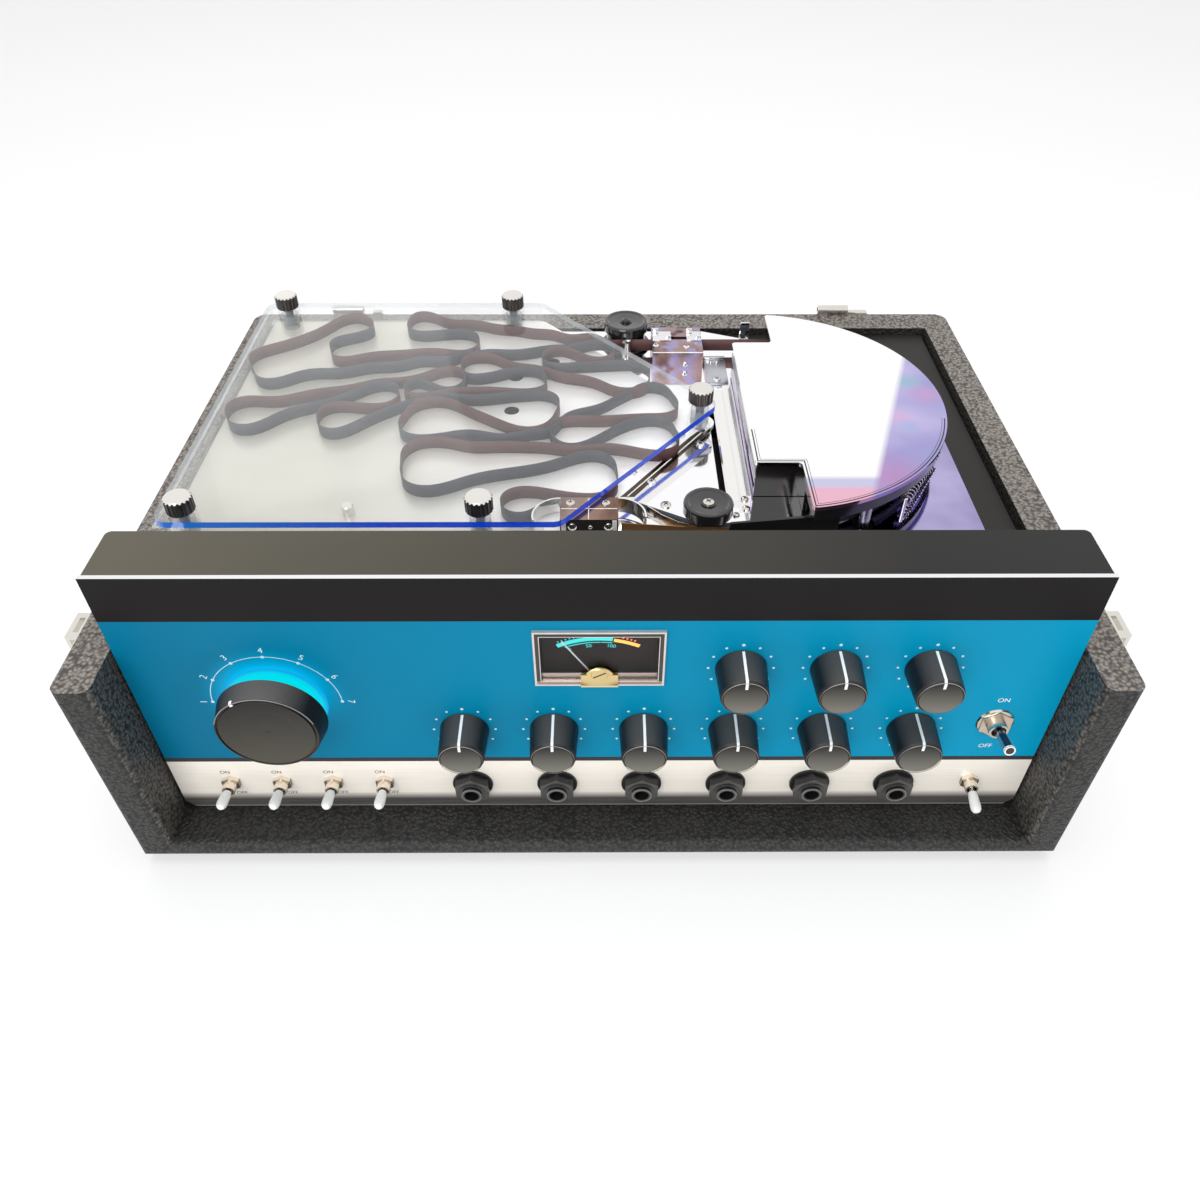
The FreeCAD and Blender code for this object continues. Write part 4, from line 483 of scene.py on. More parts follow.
@dataclass(frozen=True)
class TrayFloor:
    """Brushed pale sheet, greyer to its left, that mirrors the tape softly."""

    name: str = "tray_floor_sheet"

    def material(self) -> bpy.types.Material:
        """Build the shader."""
        g = Surface(self.name)
        lines = g.noise(1500.0, 2.0, 0.6, Grain.ALONG_X.value)
        cloud = g.noise(11.0, 3.0, 0.6, (0.5, 1.0, 1.0))
        across = g.axis("X").ramp(-0.12, 0.02)
        left = g.blend(cloud.ramp(0.35, 0.7), (0.50, 0.49, 0.425), (0.64, 0.63, 0.56))
        tone = g.blend(across, left, WHITE)
        tone = g.blend(lines.ramp(0.55, 0.8) * 0.25, tone, (0.50, 0.50, 0.48))
        return g.dress(Base_Color=tone, Metallic=0.45, Roughness=0.26 + 0.12 * lines, Normal=g.bump(lines, 0.000005))


@dataclass(frozen=True)
class TrayWall:
    """Clear upright walls with paler top edges."""

    name: str = "tray_wall"

    def material(self) -> bpy.types.Material:
        """Build the shader."""
        g = Surface(self.name)
        streak = g.noise(60.0, 3.0, 0.6, (1.0, 1.0, 0.1))
        top = g.facing("Z").math("ABSOLUTE").above(0.7)
        view = g.slant()
        alpha = (0.10 + 0.7 * view ** 4 + top * 0.25).math("MINIMUM", 1.0)
        return g.dress(Base_Color=(0.86, 0.90, 0.92), Metallic=0.2, Roughness=0.05 + 0.1 * streak,
                       Alpha=alpha, IOR=1.49)


@dataclass(frozen=True)
class Deck:
    """Polished deck, neutral towards the tray and lilac beside and behind the head cover, the lilac a painted
    reflection of the room.
    """

    name: str = "polished_deck"

    def material(self) -> bpy.types.Material:
        """Build the shader."""
        g = Surface(self.name)
        x = g.mm("X")
        cloud = g.noise(24.0, 3.0, 0.5)
        swirl = g.noise(240.0, 3.0, 0.6)
        # painted reflection of the room: lilac beside and behind the head cover
        lilac = g.blend(cloud.ramp(0.35, 0.65), linear(150, 142, 188), linear(184, 176, 216))
        tone = g.blend(x.ramp(96.0, 112.0), (0.98, 0.97, 0.99), lilac)
        return g.dress(Base_Color=tone, Metallic=1.0, Roughness=0.04 + 0.06 * swirl)


@dataclass(frozen=True)
class BridgeMetal:
    """Brushed base of the head bay whose upright front shield is gloss black."""

    name: str = "head_bay_metal"

    def material(self) -> bpy.types.Material:
        """Build the shader."""
        g = Surface(self.name)
        shield = g.axis("Y").below(-0.0695) * g.axis("X").above(0.055)
        lines = g.noise(1800.0, 2.0, 0.6, Grain.ALONG_X.value)
        tone = g.blend(shield, (0.74, 0.74, 0.75), (0.008, 0.008, 0.008))
        return g.dress(Base_Color=tone, Metallic=1.0 - shield, Roughness=0.20 + 0.08 * lines - shield * 0.1,
                       Normal=g.bump(lines, 0.000005))


@dataclass(frozen=True)
class KnobBlack:
    """Satin black knob with a painted soft sheen along its top and a turned front face painted paler towards its
    foot, as light falls on it.
    """

    name: str
    face_top: Colour
    face_foot: Colour
    sheen: Colour
    lowest: float
    pitch: float
    tall: float
    gloss: float = 0.3

    def material(self) -> bpy.types.Material:
        """Build the shader."""
        g = Surface(self.name)
        fine = g.noise(1500.0, 3.0, 0.6)
        broad = g.noise(40.0, 3.0, 0.6)
        level = ((g.mm("Z") - self.lowest) / self.pitch).math("FRACT") * self.pitch
        face = g.facing("Y").below(-0.93)
        # painted light: the front face is paler towards its foot
        front = g.blend(level.ramp(self.tall * 0.12, self.tall * 0.9, 1.0, 0.0), self.face_top, self.face_foot)
        # painted highlight: soft sheen on the upward faces of the side
        soft = g.facing("Z").ramp(0.55, 1.0) * (0.7 + 0.6 * broad)
        side = g.blend(soft.math("MINIMUM", 1.0), (0.008, 0.008, 0.0085), self.sheen)
        tone = g.blend(face, side, front)
        return g.dress(Base_Color=tone, Roughness=0.36 + 0.1 * broad, Specular_IOR_Level=self.gloss,
                       Normal=g.bump(fine, 0.00001))


@dataclass(frozen=True)
class WornEdge:
    """Edge line of a knob, a painted highlight bright over its top and lost in the black below."""

    name: str = "worn_edge"

    def material(self) -> bpy.types.Material:
        """Build the shader."""
        g = Surface(self.name)
        mottle = g.noise(300.0, 3.0, 0.6)
        level = ((g.mm("Z") - KNOB_FOOT_Z) / KNOB_STEP).math("FRACT") * KNOB_STEP
        # painted highlight: the edge line is bright over the top of each knob and dark below
        tone = g.blend(level.ramp(9.0, 17.0) * (0.7 + 0.3 * mottle), (0.07, 0.067, 0.06), (0.40, 0.38, 0.36))
        return g.dress(Base_Color=tone, Roughness=0.35 + 0.1 * mottle)


@dataclass(frozen=True)
class Nut:
    """Plated nut: painted light and shade by facing, creamy where it looks up and bronze-dark on its sides and
    below.
    """

    name: str = "plated_nut"

    def material(self) -> bpy.types.Material:
        """Build the shader."""
        g = Surface(self.name)
        smear = g.noise(300.0, 3.0, 0.6)
        # painted light: creamy on upward and front faces, dark on the sides and below
        up = (g.facing("Z") + 0.5 * smear).ramp(0.05, 0.75)
        front = g.facing("Y").below(-0.9)
        tone = g.blend(up, (0.10, 0.075, 0.055), (0.86, 0.78, 0.68))
        tone = g.blend(front * (0.4 + 0.6 * smear), tone, (0.66, 0.56, 0.46))
        return g.dress(Base_Color=tone, Metallic=1.0, Roughness=0.14 + 0.14 * smear)


@dataclass(frozen=True)
class Lever:
    """Polished lever with a painted reflection, dark on its left side and bright to its right."""

    name: str = "polished_lever"

    def material(self) -> bpy.types.Material:
        """Build the shader."""
        g = Surface(self.name)
        streak = g.noise(400.0, 2.0, 0.6, (1.0, 0.1, 1.0))
        # painted reflection: dark on the left faces, bright on the right faces
        side = (g.facing("X") + 0.2 * streak).ramp(0.25, 0.75)
        tone = g.blend(side, (0.045, 0.075, 0.11), (0.92, 0.93, 0.94))
        tone = g.blend(g.facing("X").below(-0.8), tone, (0.5, 0.55, 0.6))
        return g.dress(Base_Color=tone, Metallic=0.85, Roughness=0.12 + 0.08 * streak)


@dataclass(frozen=True)
class RingLight:
    """Glowing ring, brightest beside its knob and softer at its outer edge."""

    name: str = "ring_light"
    outer: float = 20.6

    def material(self) -> bpy.types.Material:
        """Build the shader."""
        g = Surface(self.name)
        radius = g.away(MODE_X, MODE_Z)[1]
        cloud = g.noise(60.0, 2.0, 0.5)
        tone = g.blend(radius.ramp(self.outer - 1.9, self.outer), (0.0, 0.66, 0.84), (0.0, 0.34, 0.72))
        tone = g.blend(cloud * 0.15, tone, (0.02, 0.72, 0.90))
        return g.dress(Base_Color=(0.0, 0.05, 0.07), Emission_Color=tone, Emission_Strength=1.0,
                       Roughness=0.4 + 0.1 * cloud)


@dataclass(frozen=True)
class MeterFrame:
    """Clear-edged meter frame: bright outer and inner lines with a dusky band between, gilt zero boss."""

    half_wide: float = 23.4
    half_tall: float = 12.6
    middle_z: float = 114.5
    front: float = -133.05

    def material(self) -> bpy.types.Material:
        """Build the shader."""
        g = Surface("meter_frame")
        x, y, z = g.mm("X"), g.mm("Y"), g.mm("Z")
        out_x = x.math("ABSOLUTE") - self.half_wide
        out_z = (z - self.middle_z).math("ABSOLUTE") - self.half_tall
        out = out_x.math("MAXIMUM", out_z)
        outer = out.above(1.8)
        bright = outer.math("MAXIMUM", out.below(0.3))
        foot = (self.middle_z - z).above(self.half_tall) * (1.0 - outer)
        smear = g.noise(160.0, 3.0, 0.6)
        tone = g.blend(foot, (0.035, 0.030, 0.028), (0.30, 0.20, 0.155))
        tone = g.blend(bright * (0.7 + 0.3 * smear), tone, (0.84, 0.77, 0.72))
        inside = y.above(PANEL_Y + 0.05)
        tone = g.blend(inside, tone, (0.02, 0.018, 0.016))
        gilt = y.below(self.front)
        tone = g.blend(gilt, tone, (0.83, 0.66, 0.36))
        metal = gilt.math("MAXIMUM", bright * 0.6) * (1.0 - inside)
        return g.dress(Base_Color=tone, Metallic=metal, Roughness=0.14 + 0.14 * smear)


@dataclass(frozen=True)
class GuideMetal:
    """Guides of the tape: polished leaves and rail, and blocks with a warm mirror top and black sides; these block
    colours and the lilac and reddish patches are painted reflection.
    """

    name: str = "guide_metal"

    def material(self) -> bpy.types.Material:
        """Build the shader."""
        g = Surface(self.name)
        x, y = g.mm("X"), g.mm("Y")
        fore = x.above(-17.1) * x.below(8.1) * y.above(-72.1) * y.below(-56.3)
        rear = x.above(27.8) * x.below(55.0) * y.above(69.9) * y.below(98.1)
        block = fore.math("MAXIMUM", rear)
        top = g.facing("Z").above(0.7)
        cloud = g.noise(45.0, 3.0, 0.6, (1.0, 0.4, 1.0))
        # painted reflection: warm tops over black sides on the rear block, lilac and reddish patches on the front
        # block
        warm = g.blend(cloud.ramp(0.35, 0.65), (0.15, 0.085, 0.065), (0.46, 0.30, 0.24))
        dark = g.blend(cloud, (0.012, 0.011, 0.011), (0.030, 0.027, 0.025))
        patch = g.noise(75.0, 2.0, 0.5, (0.8, 1.0, 0.6))
        mixed = g.blend(patch.ramp(0.50, 0.56), g.blend(cloud.ramp(0.4, 0.6), linear(92, 64, 62),
                                                        linear(168, 140, 138)), linear(166, 156, 192))
        mixed = g.blend(patch.ramp(0.36, 0.40, 1.0, 0.0), mixed, linear(46, 44, 66))
        tone = g.blend(block, (0.90, 0.89, 0.87), g.blend(rear, g.blend(top, dark, warm), mixed))
        metal = 1.0 - fore * (1.0 - top)
        swirl = g.noise(300.0, 3.0, 0.6)
        return g.dress(Base_Color=tone, Metallic=metal, Roughness=0.05 + 0.08 * swirl + block * 0.1)


@dataclass(frozen=True)
class JackShell:
    """Black socket with the front faces of its nut and bush worn to grey."""

    name: str = "jack_black"

    def material(self) -> bpy.types.Material:
        """Build the shader."""
        g = Surface(self.name)
        face = g.facing("Y").below(-0.9)
        mottle = g.noise(350.0, 3.0, 0.6)
        fore = g.axis("Y").below((PANEL_Y - 2.0) * MM) * face
        tone = g.blend(fore * (0.55 + 0.45 * mottle), (0.011, 0.011, 0.012), (0.15, 0.145, 0.14))
        return g.dress(Base_Color=tone, Roughness=0.3 + 0.15 * mottle, Metallic=fore * 0.6,
                       Normal=g.bump(mottle, 0.00002))


@dataclass(frozen=True)
class PolishedCover:
    """Mirror-polished plate: neutral on its left, lilac with faint rainbow spots beyond a slanted line; the neutral
    white, its pink foot and the lilac are painted reflection of the room.
    """

    name: str = "mirror_cover"
    line_x: float = 137.7
    line_slope: float = 0.3367
    stains: tuple = ((150.5, 24.0, 10.0, (132, 196, 204)), (157.0, 12.0, 11.0, (218, 164, 210)),
                     (140.0, -8.0, 8.0, (224, 176, 212)), (142.5, -16.0, 7.0, (164, 186, 228)),
                     (126.0, -54.0, 22.0, (200, 138, 190)))

    def material(self) -> bpy.types.Material:
        """Build the shader."""
        g = Surface(self.name)
        x, y = g.mm("X"), g.mm("Y")
        cloud = g.noise(16.0, 3.0, 0.5)
        swirl = g.noise(240.0, 3.0, 0.6, (1.0, 0.15, 1.0))
        # painted reflection of the room: lilac beyond the slanted line, pink along the foot, white on the left
        lilac = g.blend(cloud.ramp(0.4, 0.62), linear(166, 162, 214), linear(200, 190, 232))
        for spot_x, spot_y, reach, colour in self.stains:
            away_x, away_y = x - spot_x, y - spot_y
            near = ((away_x * away_x + away_y * away_y) ** 0.5).ramp(0.0, reach, 0.65, 0.0)
            lilac = g.blend(near, lilac, linear(*colour))
        foot = g.blend(y.ramp(-61.0, -64.0), linear(206, 204, 232), linear(238, 186, 206))
        left = g.blend(y.ramp(-54.0, -57.0), WHITE, foot)
        beyond = (x - y * self.line_slope - self.line_x).ramp(-0.6, 2.6)
        tone = g.blend(beyond, left, lilac)
        return g.dress(Base_Color=tone, Metallic=1.0, Roughness=0.02 + 0.05 * swirl,
                       Normal=g.bump(cloud, 0.00003, 0.3))


@dataclass(frozen=True)
class TapeSide:
    """One side of the tape: brown oxide or dark grey backing, with lengthwise streaks and a soft shine."""

    name: str
    colour: Colour
    rough: float = 0.3

    def material(self) -> bpy.types.Material:
        """Build the shader."""
        g = Surface(self.name)
        streak = g.noise(900.0, 2.0, 0.6, (0.05, 0.05, 1.0))
        cloud = g.noise(30.0, 3.0, 0.6)
        tone = g.blend(streak * 0.5 + cloud * 0.5, self.colour, tuple(c * 1.6 for c in self.colour))
        return g.dress(Base_Color=tone, Roughness=self.rough + 0.12 * cloud, Specular_IOR_Level=0.3)


@dataclass(frozen=True)
class Light:
    """Lit plastic or printed mark that glows by itself."""

    name: str
    colour: Colour
    strength: float = 1.0

    def material(self) -> bpy.types.Material:
        """Build the shader."""
        g = Surface(self.name)
        cloud = g.noise(60.0, 2.0, 0.5)
        tone = g.blend(cloud, self.colour, tuple(min(1.0, c * 1.1 + 0.03) for c in self.colour))
        return g.dress(Base_Color=tone, Emission_Color=tone, Emission_Strength=self.strength, Roughness=0.4)


@dataclass(frozen=True)
class Board:
    """Green circuit board with pale tracks."""

    name: str = "circuit_green"

    def material(self) -> bpy.types.Material:
        """Build the shader."""
        g = Surface(self.name)
        cells = g.node("ShaderNodeTexVoronoi", {"feature": "DISTANCE_TO_EDGE"},
                       {"Vector": g.coords(), "Scale": 180.0}, "Distance")
        track = cells.below(0.06)
        tone = g.blend(track, (0.012, 0.10, 0.04), (0.05, 0.26, 0.10))
        return g.dress(Base_Color=tone, Roughness=0.35 + 0.1 * track)


class Finishes:
    """All finishes of the unit, each built once."""

    def __init__(self) -> None:
        """Build the materials."""
        self.covering = Covering().material()
        self.nickel = Metal("bright_nickel", (0.78, 0.75, 0.70), 0.16).material()
        self.chrome = Metal("chrome", (0.86, 0.86, 0.87), 0.06).material()
        self.floor = TrayFloor().material()
        self.wall = TrayWall().material()
        self.brushed_z = Metal("turned_steel", (0.72, 0.70, 0.67), 0.26, Grain.NONE, 0.00002).material()
        self.deck = Deck().material()
        self.bridge = BridgeMetal().material()
        self.visor = VisorPaint().material()
        self.plate_grey = Metal("grey_bracket", (0.55, 0.57, 0.61), 0.32, Grain.ALONG_Y, 0.00001).material()
        self.lilac_metal = Metal("lilac_side", linear(208, 194, 226), 0.12, Grain.ALONG_Y, 0.000004).material()
        self.copper_leaf = Metal("copper_leaf", linear(188, 142, 96), 0.3, Grain.ALONG_X, 0.000006).material()
        self.mirror = PolishedCover().material()
        self.knurled = Knurled().material()
        self.jack = JackShell().material()
        self.pane = Pane().material()
        self.brass = Metal("pale_brass", (0.80, 0.62, 0.30), 0.28).material()
        self.iron = Metal("laminated_iron", (0.28, 0.28, 0.29), 0.5, Grain.ALONG_Z, 0.00004).material()
        self.black_paint = Paint("satin_black_steel", (0.010, 0.0095, 0.009), 0.42, 1200.0, 0.000012).material()
        self.knob = KnobBlack("satin_black_knob", (0.012, 0.011, 0.009), (0.165, 0.155, 0.13), (0.070, 0.068, 0.066),
                              KNOB_FOOT_Z, KNOB_STEP, 18.0).material()
        self.mode_knob = KnobBlack("mode_knob_black", (0.010, 0.009, 0.008), (0.070, 0.064, 0.050),
                                   (0.105, 0.10, 0.098), 67.0, 1000.0, 42.0, 0.2).material()
        self.nut = Nut().material()
        self.lever = Lever().material()
        self.chassis = Paint("chassis_black", (0.012, 0.011, 0.010), 0.5, 1200.0, 0.000012, 0.0, 0.25).material()
        self.meter_frame = MeterFrame().material()
        self.guides = GuideMetal().material()
        # painted highlight on the knobs' front edges
        self.edge_line = WornEdge().material()
        self.ferrule = Paint("jack_ferrule", (0.20, 0.195, 0.185), 0.4, 900.0, 0.000004).material()
        self.trim = Metal("meter_trim", (0.50, 0.42, 0.38), 0.3, Grain.ALONG_X).material()
        self.gloss_black = Paint("gloss_black", (0.008, 0.008, 0.008), 0.12, 400.0, 0.000004, 0.6).material()
        self.rubber = Paint("black_rubber", (0.012, 0.012, 0.012), 0.7, 700.0, 0.00004).material()
        self.white_plastic = Paint("white_plastic", (0.78, 0.77, 0.74), 0.35, 500.0, 0.000006).material()
        self.print_white = Paint("printed_white", (0.82, 0.86, 0.88), 0.5, 600.0, 0.000002).material()
        self.print_blue = Paint("printed_pale_blue", (0.52, 0.74, 0.82), 0.5, 600.0, 0.000002).material()
        self.print_black = Paint("printed_black", (0.02, 0.02, 0.02), 0.5, 600.0, 0.000002).material()
        # painted shade for the holes of the tray floor
        self.printed_matt = Paint("cup_black", (0.004, 0.004, 0.004), 0.8, 900.0, 0.00001, 0.0, 0.1).material()
        self.meter_black = Paint("meter_card", (0.014, 0.009, 0.008), 0.7, 900.0, 0.00001, 0.0, 0.1).material()
        self.panel = PanelPrint().material()
        self.cover = ClearPlastic("clear_cover", True, 0.05).material()
        self.clear = ClearPlastic("clear_parts", False, 0.03).material()
        self.tape_brown = TapeSide("tape_oxide", (0.088, 0.042, 0.040), 0.50).material()
        self.tape_grey = TapeSide("tape_backing", (0.042, 0.045, 0.056), 0.44).material()
        self.ring_light = RingLight().material()
        self.meter_cyan = Light("meter_cyan", (0.01, 0.50, 0.50), 0.62).material()
        self.meter_amber = Light("meter_amber", (0.88, 0.40, 0.05), 0.75).material()
        self.meter_red = Light("meter_red", (0.60, 0.09, 0.05), 0.6).material()
        self.bronze = Metal("dark_bronze", (0.115, 0.085, 0.066), 0.24, Grain.ALONG_Y, 0.00001).material()
        self.belt = Paint("belt_rubber", (0.016, 0.016, 0.016), 0.6, 1600.0, 0.00005).material()
        self.board = Board().material()


# ------------------------------------------------------------------ shape helpers
def put(bm: bmesh.types.BMesh, name: str, body: str, materials: Union[bpy.types.Material, Sequence],
        smooth: bool = True) -> bpy.types.Object:
    """Turn a bmesh in millimetres into a finished piece that rides on a body.

    Args:
        bm: the shape, freed afterwards.
        name: the piece's name.
        body: the body that it moves with.
        materials: one material or several for its slots.
        smooth: shade faces smoothly up to 35 degrees.

    Returns:
        The new object.
    """
    bmesh.ops.remove_doubles(bm, verts=bm.verts, dist=0.0005)
    bmesh.ops.recalc_face_normals(bm, faces=bm.faces)
    bmesh.ops.scale(bm, vec=(MM, MM, MM), verts=bm.verts)
    mesh = bpy.data.meshes.new(name)
    bm.to_mesh(mesh)
    bm.free()
    piece = bpy.data.objects.new(name, mesh)
    bpy.context.scene.collection.objects.link(piece)
    for material in materials if isinstance(materials, (list, tuple)) else [materials]:
        mesh.materials.append(material)
    if smooth:
        mesh.polygons.foreach_set("use_smooth", [True] * len(mesh.polygons))
        mesh.set_sharp_from_angle(angle=math.radians(35))
    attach(piece, body)
    return piece


def mark_faces(verts: Iterable, material: int) -> None:
    """Give every face at some vertices a material slot."""
    for face in {f for v in verts for f in v.link_faces}:
        face.material_index = material


def verts_of(grown: dict) -> list:
    """Vertices among what an extrusion made."""
    return [item for item in grown["geom"] if isinstance(item, bmesh.types.BMVert)]


def shift(bm: bmesh.types.BMesh, place: Sequence[float], verts: Optional[Iterable] = None) -> None:
    """Move some vertices, or the whole shape, by a step."""
    bmesh.ops.translate(bm, vec=place, verts=list(bm.verts if verts is None else verts))


def keep_above(bm: bmesh.types.BMesh, level: float) -> None:
    """Cut away the part of a shape below a height."""
    bmesh.ops.bisect_plane(bm, geom=list(bm.verts) + list(bm.edges) + list(bm.faces), dist=0.0001,
                           plane_co=(0, 0, level), plane_no=(0, 0, -1), clear_outer=True)


def add_between(bm: bmesh.types.BMesh, first: Sequence, second: Sequence, material: int = 0) -> None:
    """Fill the strip between two rows of points with faces."""
    near, far = ([bm.verts.new(point) for point in row] for row in (first, second))
    for i in range(len(near) - 1):
        bm.faces.new((near[i], near[i + 1], far[i + 1], far[i])).material_index = material


def add_band(bm: bmesh.types.BMesh, line: Iterable, low: float, tall: float) -> None:
    """Add an upright band round a closed line."""
    ring = [bm.verts.new((x, y, low)) for x, y in line]
    edges = [bm.edges.new((ring[i], ring[(i + 1) % len(ring)])) for i in range(len(ring))]
    shift(bm, (0, 0, tall), verts_of(bmesh.ops.extrude_edge_only(bm, edges=edges)))


def thicken(piece: bpy.types.Object, thick: float) -> bpy.types.Modifier:
    """Give a band its thickness in millimetres, half on each side."""
    wall = piece.modifiers.new("thickness", "SOLIDIFY")
    wall.thickness = thick * MM
    wall.offset = 0.0
    return wall


def add_lathe(bm: bmesh.types.BMesh, profile: Sequence[Flat], centre: Sequence[float], axis: str = "Z",
              segments: int = 48, material: int = 0) -> list:
    """Spin a (radius, height) profile round an axis through a centre and add it to a bmesh."""
    verts = [bm.verts.new((r, 0.0, h)) for r, h in profile]
    edges = [bm.edges.new(pair) for pair in zip(verts, verts[1:])]
    bmesh.ops.spin(bm, geom=verts + edges, cent=(0, 0, 0), axis=(0, 0, 1), angle=2 * math.pi, steps=segments,
                   use_merge=True, use_duplicate=False)
    fresh = set(verts)
    stack = list(verts)
    while stack:
        vert = stack.pop()
        for edge in vert.link_edges:
            other = edge.other_vert(vert)
            if other not in fresh:
                fresh.add(other)
                stack.append(other)
    mark_faces(fresh, material)
    turn = {"Z": Matrix.Identity(3), "Y": Matrix.Rotation(math.radians(90), 3, "X"),
            "X": Matrix.Rotation(math.radians(90), 3, "Y")}[axis]
    for vert in fresh:
        vert.co = turn @ vert.co + Vector(centre)
    return list(fresh)


def add_slab(bm: bmesh.types.BMesh, outline: Sequence[Flat], low: float, high: float, bevel: float = 0.0,
             material: int = 0) -> list:
    """Add a flat plate with the given outline between two heights, with its edges eased by bevel."""
    verts = [bm.verts.new((x, y, low)) for x, y in outline]
    face = bm.faces.new(verts)
    top = verts_of(bmesh.ops.extrude_face_region(bm, geom=[face]))
    shift(bm, (0, 0, high - low), top)
    both = verts + top
    mark_faces(both, material)
    if bevel > 0:
        edges = list({e for v in both for e in v.link_edges})
        cut = bmesh.ops.bevel(bm, geom=edges, offset=bevel, segments=2, profile=0.5, affect="EDGES",
                              material=-1, clamp_overlap=True)
        both = list({v for v in both if v.is_valid} | set(cut["verts"]))
    return both


def add_box(bm: bmesh.types.BMesh, low: Sequence[float], high: Sequence[float], bevel: float = 0.3,
            material: int = 0) -> list:
    """Add a box with eased edges."""
    outline = [(low[0], low[1]), (high[0], low[1]), (high[0], high[1]), (low[0], high[1])]
    return add_slab(bm, outline, low[2], high[2], bevel, material)


def add_disc(bm: bmesh.types.BMesh, centre: Sequence[float], radius: float, segments: int) -> None:
    """Add a flat disc that faces forwards, along -Y."""
    made = bmesh.ops.create_circle(bm, cap_ends=True, radius=radius, segments=segments)
    turn_about(bm, made["verts"], (0, 0, 0), "X", 90)
    shift(bm, centre, made["verts"])


def add_strip(bm: bmesh.types.BMesh, side: Sequence[Flat], half: float) -> None:
    """Add a strip whose side view is the given (back, up) outline and that is twice half wide across."""
    verts = [bm.verts.new((-half, y, z)) for y, z in side]
    face = bm.faces.new(verts)
    far = verts_of(bmesh.ops.extrude_face_region(bm, geom=[face]))
    shift(bm, (2 * half, 0, 0), far)


def turn_about(bm: bmesh.types.BMesh, verts: Iterable, centre: Sequence[float], axis: str, degrees: float) -> None:
    """Rotate vertices about an axis through a centre."""
    bmesh.ops.rotate(bm, verts=list(verts), cent=centre, matrix=Matrix.Rotation(math.radians(degrees), 3, axis))


def add_screw(bm: bmesh.types.BMesh, centre: Sequence[float], radius: float, height: float = 1.1,
              axis: str = "Z", turn: float = 0.0, material: int = 0) -> None:
    """Add a domed cross-head screw whose head rests on a surface at its centre point."""
    r, h = radius, height
    profile = [(r, 0), (r, h * 0.45), (r * 0.82, h * 0.8), (r * 0.5, h), (r * 0.12, h)]
    verts = add_lathe(bm, profile + [(0.0, h * 0.55)], (0, 0, 0), "Z", 20, material)
    for quarter in (0, 90):
        arm = add_box(bm, (-r * 0.55, -r * 0.11, h * 0.72), (r * 0.55, r * 0.11, h * 1.04), 0.0, material + 1)
        turn_about(bm, arm, (0, 0, 0), "Z", quarter + turn)
        verts += arm
    if axis == "Y":
        turn_about(bm, verts, (0, 0, 0), "X", 90)
    elif axis == "-Y":
        turn_about(bm, verts, (0, 0, 0), "X", -90)
    shift(bm, centre, set(verts))


def arc(cx: float, cy: float, radius: float, start: float, end: float, steps: int) -> list[Flat]:
    """Points along an arc, angles in degrees."""
    angles = [math.radians(start + (end - start) * i / steps) for i in range(steps + 1)]
    return [(cx + radius * math.cos(a), cy + radius * math.sin(a)) for a in angles]


def polar(radius: float, degrees: float) -> Flat:
    """Place about the middle of the head arc."""
    return (HEAD_X + radius * math.cos(math.radians(degrees)), HEAD_Y + radius * math.sin(math.radians(degrees)))


def dress_node(name: str, finish: bpy.types.Material) -> None:
    """Give a construction piece its finish."""
    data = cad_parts[name].data
    data.materials.clear()
    data.materials.append(finish)
    data.polygons.foreach_set("use_smooth", [True] * len(data.polygons))
    data.set_sharp_from_angle(angle=math.radians(30))


def dress_nodes(finish_of: dict[str, bpy.types.Material]) -> None:
    """Give several construction pieces their finishes."""
    for name, finish in finish_of.items():
        dress_node(name, finish)


def lettering(text: str, size: float, x: float, z: float, material: bpy.types.Material, name: str,
              turn: float = 0.0, y: float = PANEL_Y - INK) -> None:
    """Flat printed characters on an upright plane, centred on a point.

    Args:
        text: the characters.
        size: height of the type in millimetres.
        x: place across.
        z: place up.
        material: the ink.
        name: the piece's name.
        turn: clockwise turn in degrees, seen from the front.
        y: the plane they are printed on.
    """
    curve = bpy.data.curves.new(name, "FONT")
    curve.body = text
    curve.size = size * MM
    curve.align_x = "CENTER"
    curve.align_y = "CENTER"
    holder = bpy.data.objects.new(name + "_curve", curve)
    bpy.context.scene.collection.objects.link(holder)
    bpy.context.view_layer.update()
    mesh = bpy.data.meshes.new_from_object(holder.evaluated_get(bpy.context.evaluated_depsgraph_get()))
    bpy.data.objects.remove(holder)
    mesh.transform(Matrix.Translation((x * MM, y * MM, z * MM))
                   @ Matrix.Rotation(math.radians(turn), 4, "Y") @ Matrix.Rotation(math.radians(90), 4, "X"))
    mesh.materials.clear()
    mesh.materials.append(material)
    piece = bpy.data.objects.new(name, mesh)
    bpy.context.scene.collection.objects.link(piece)
    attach(piece, "cabinet")


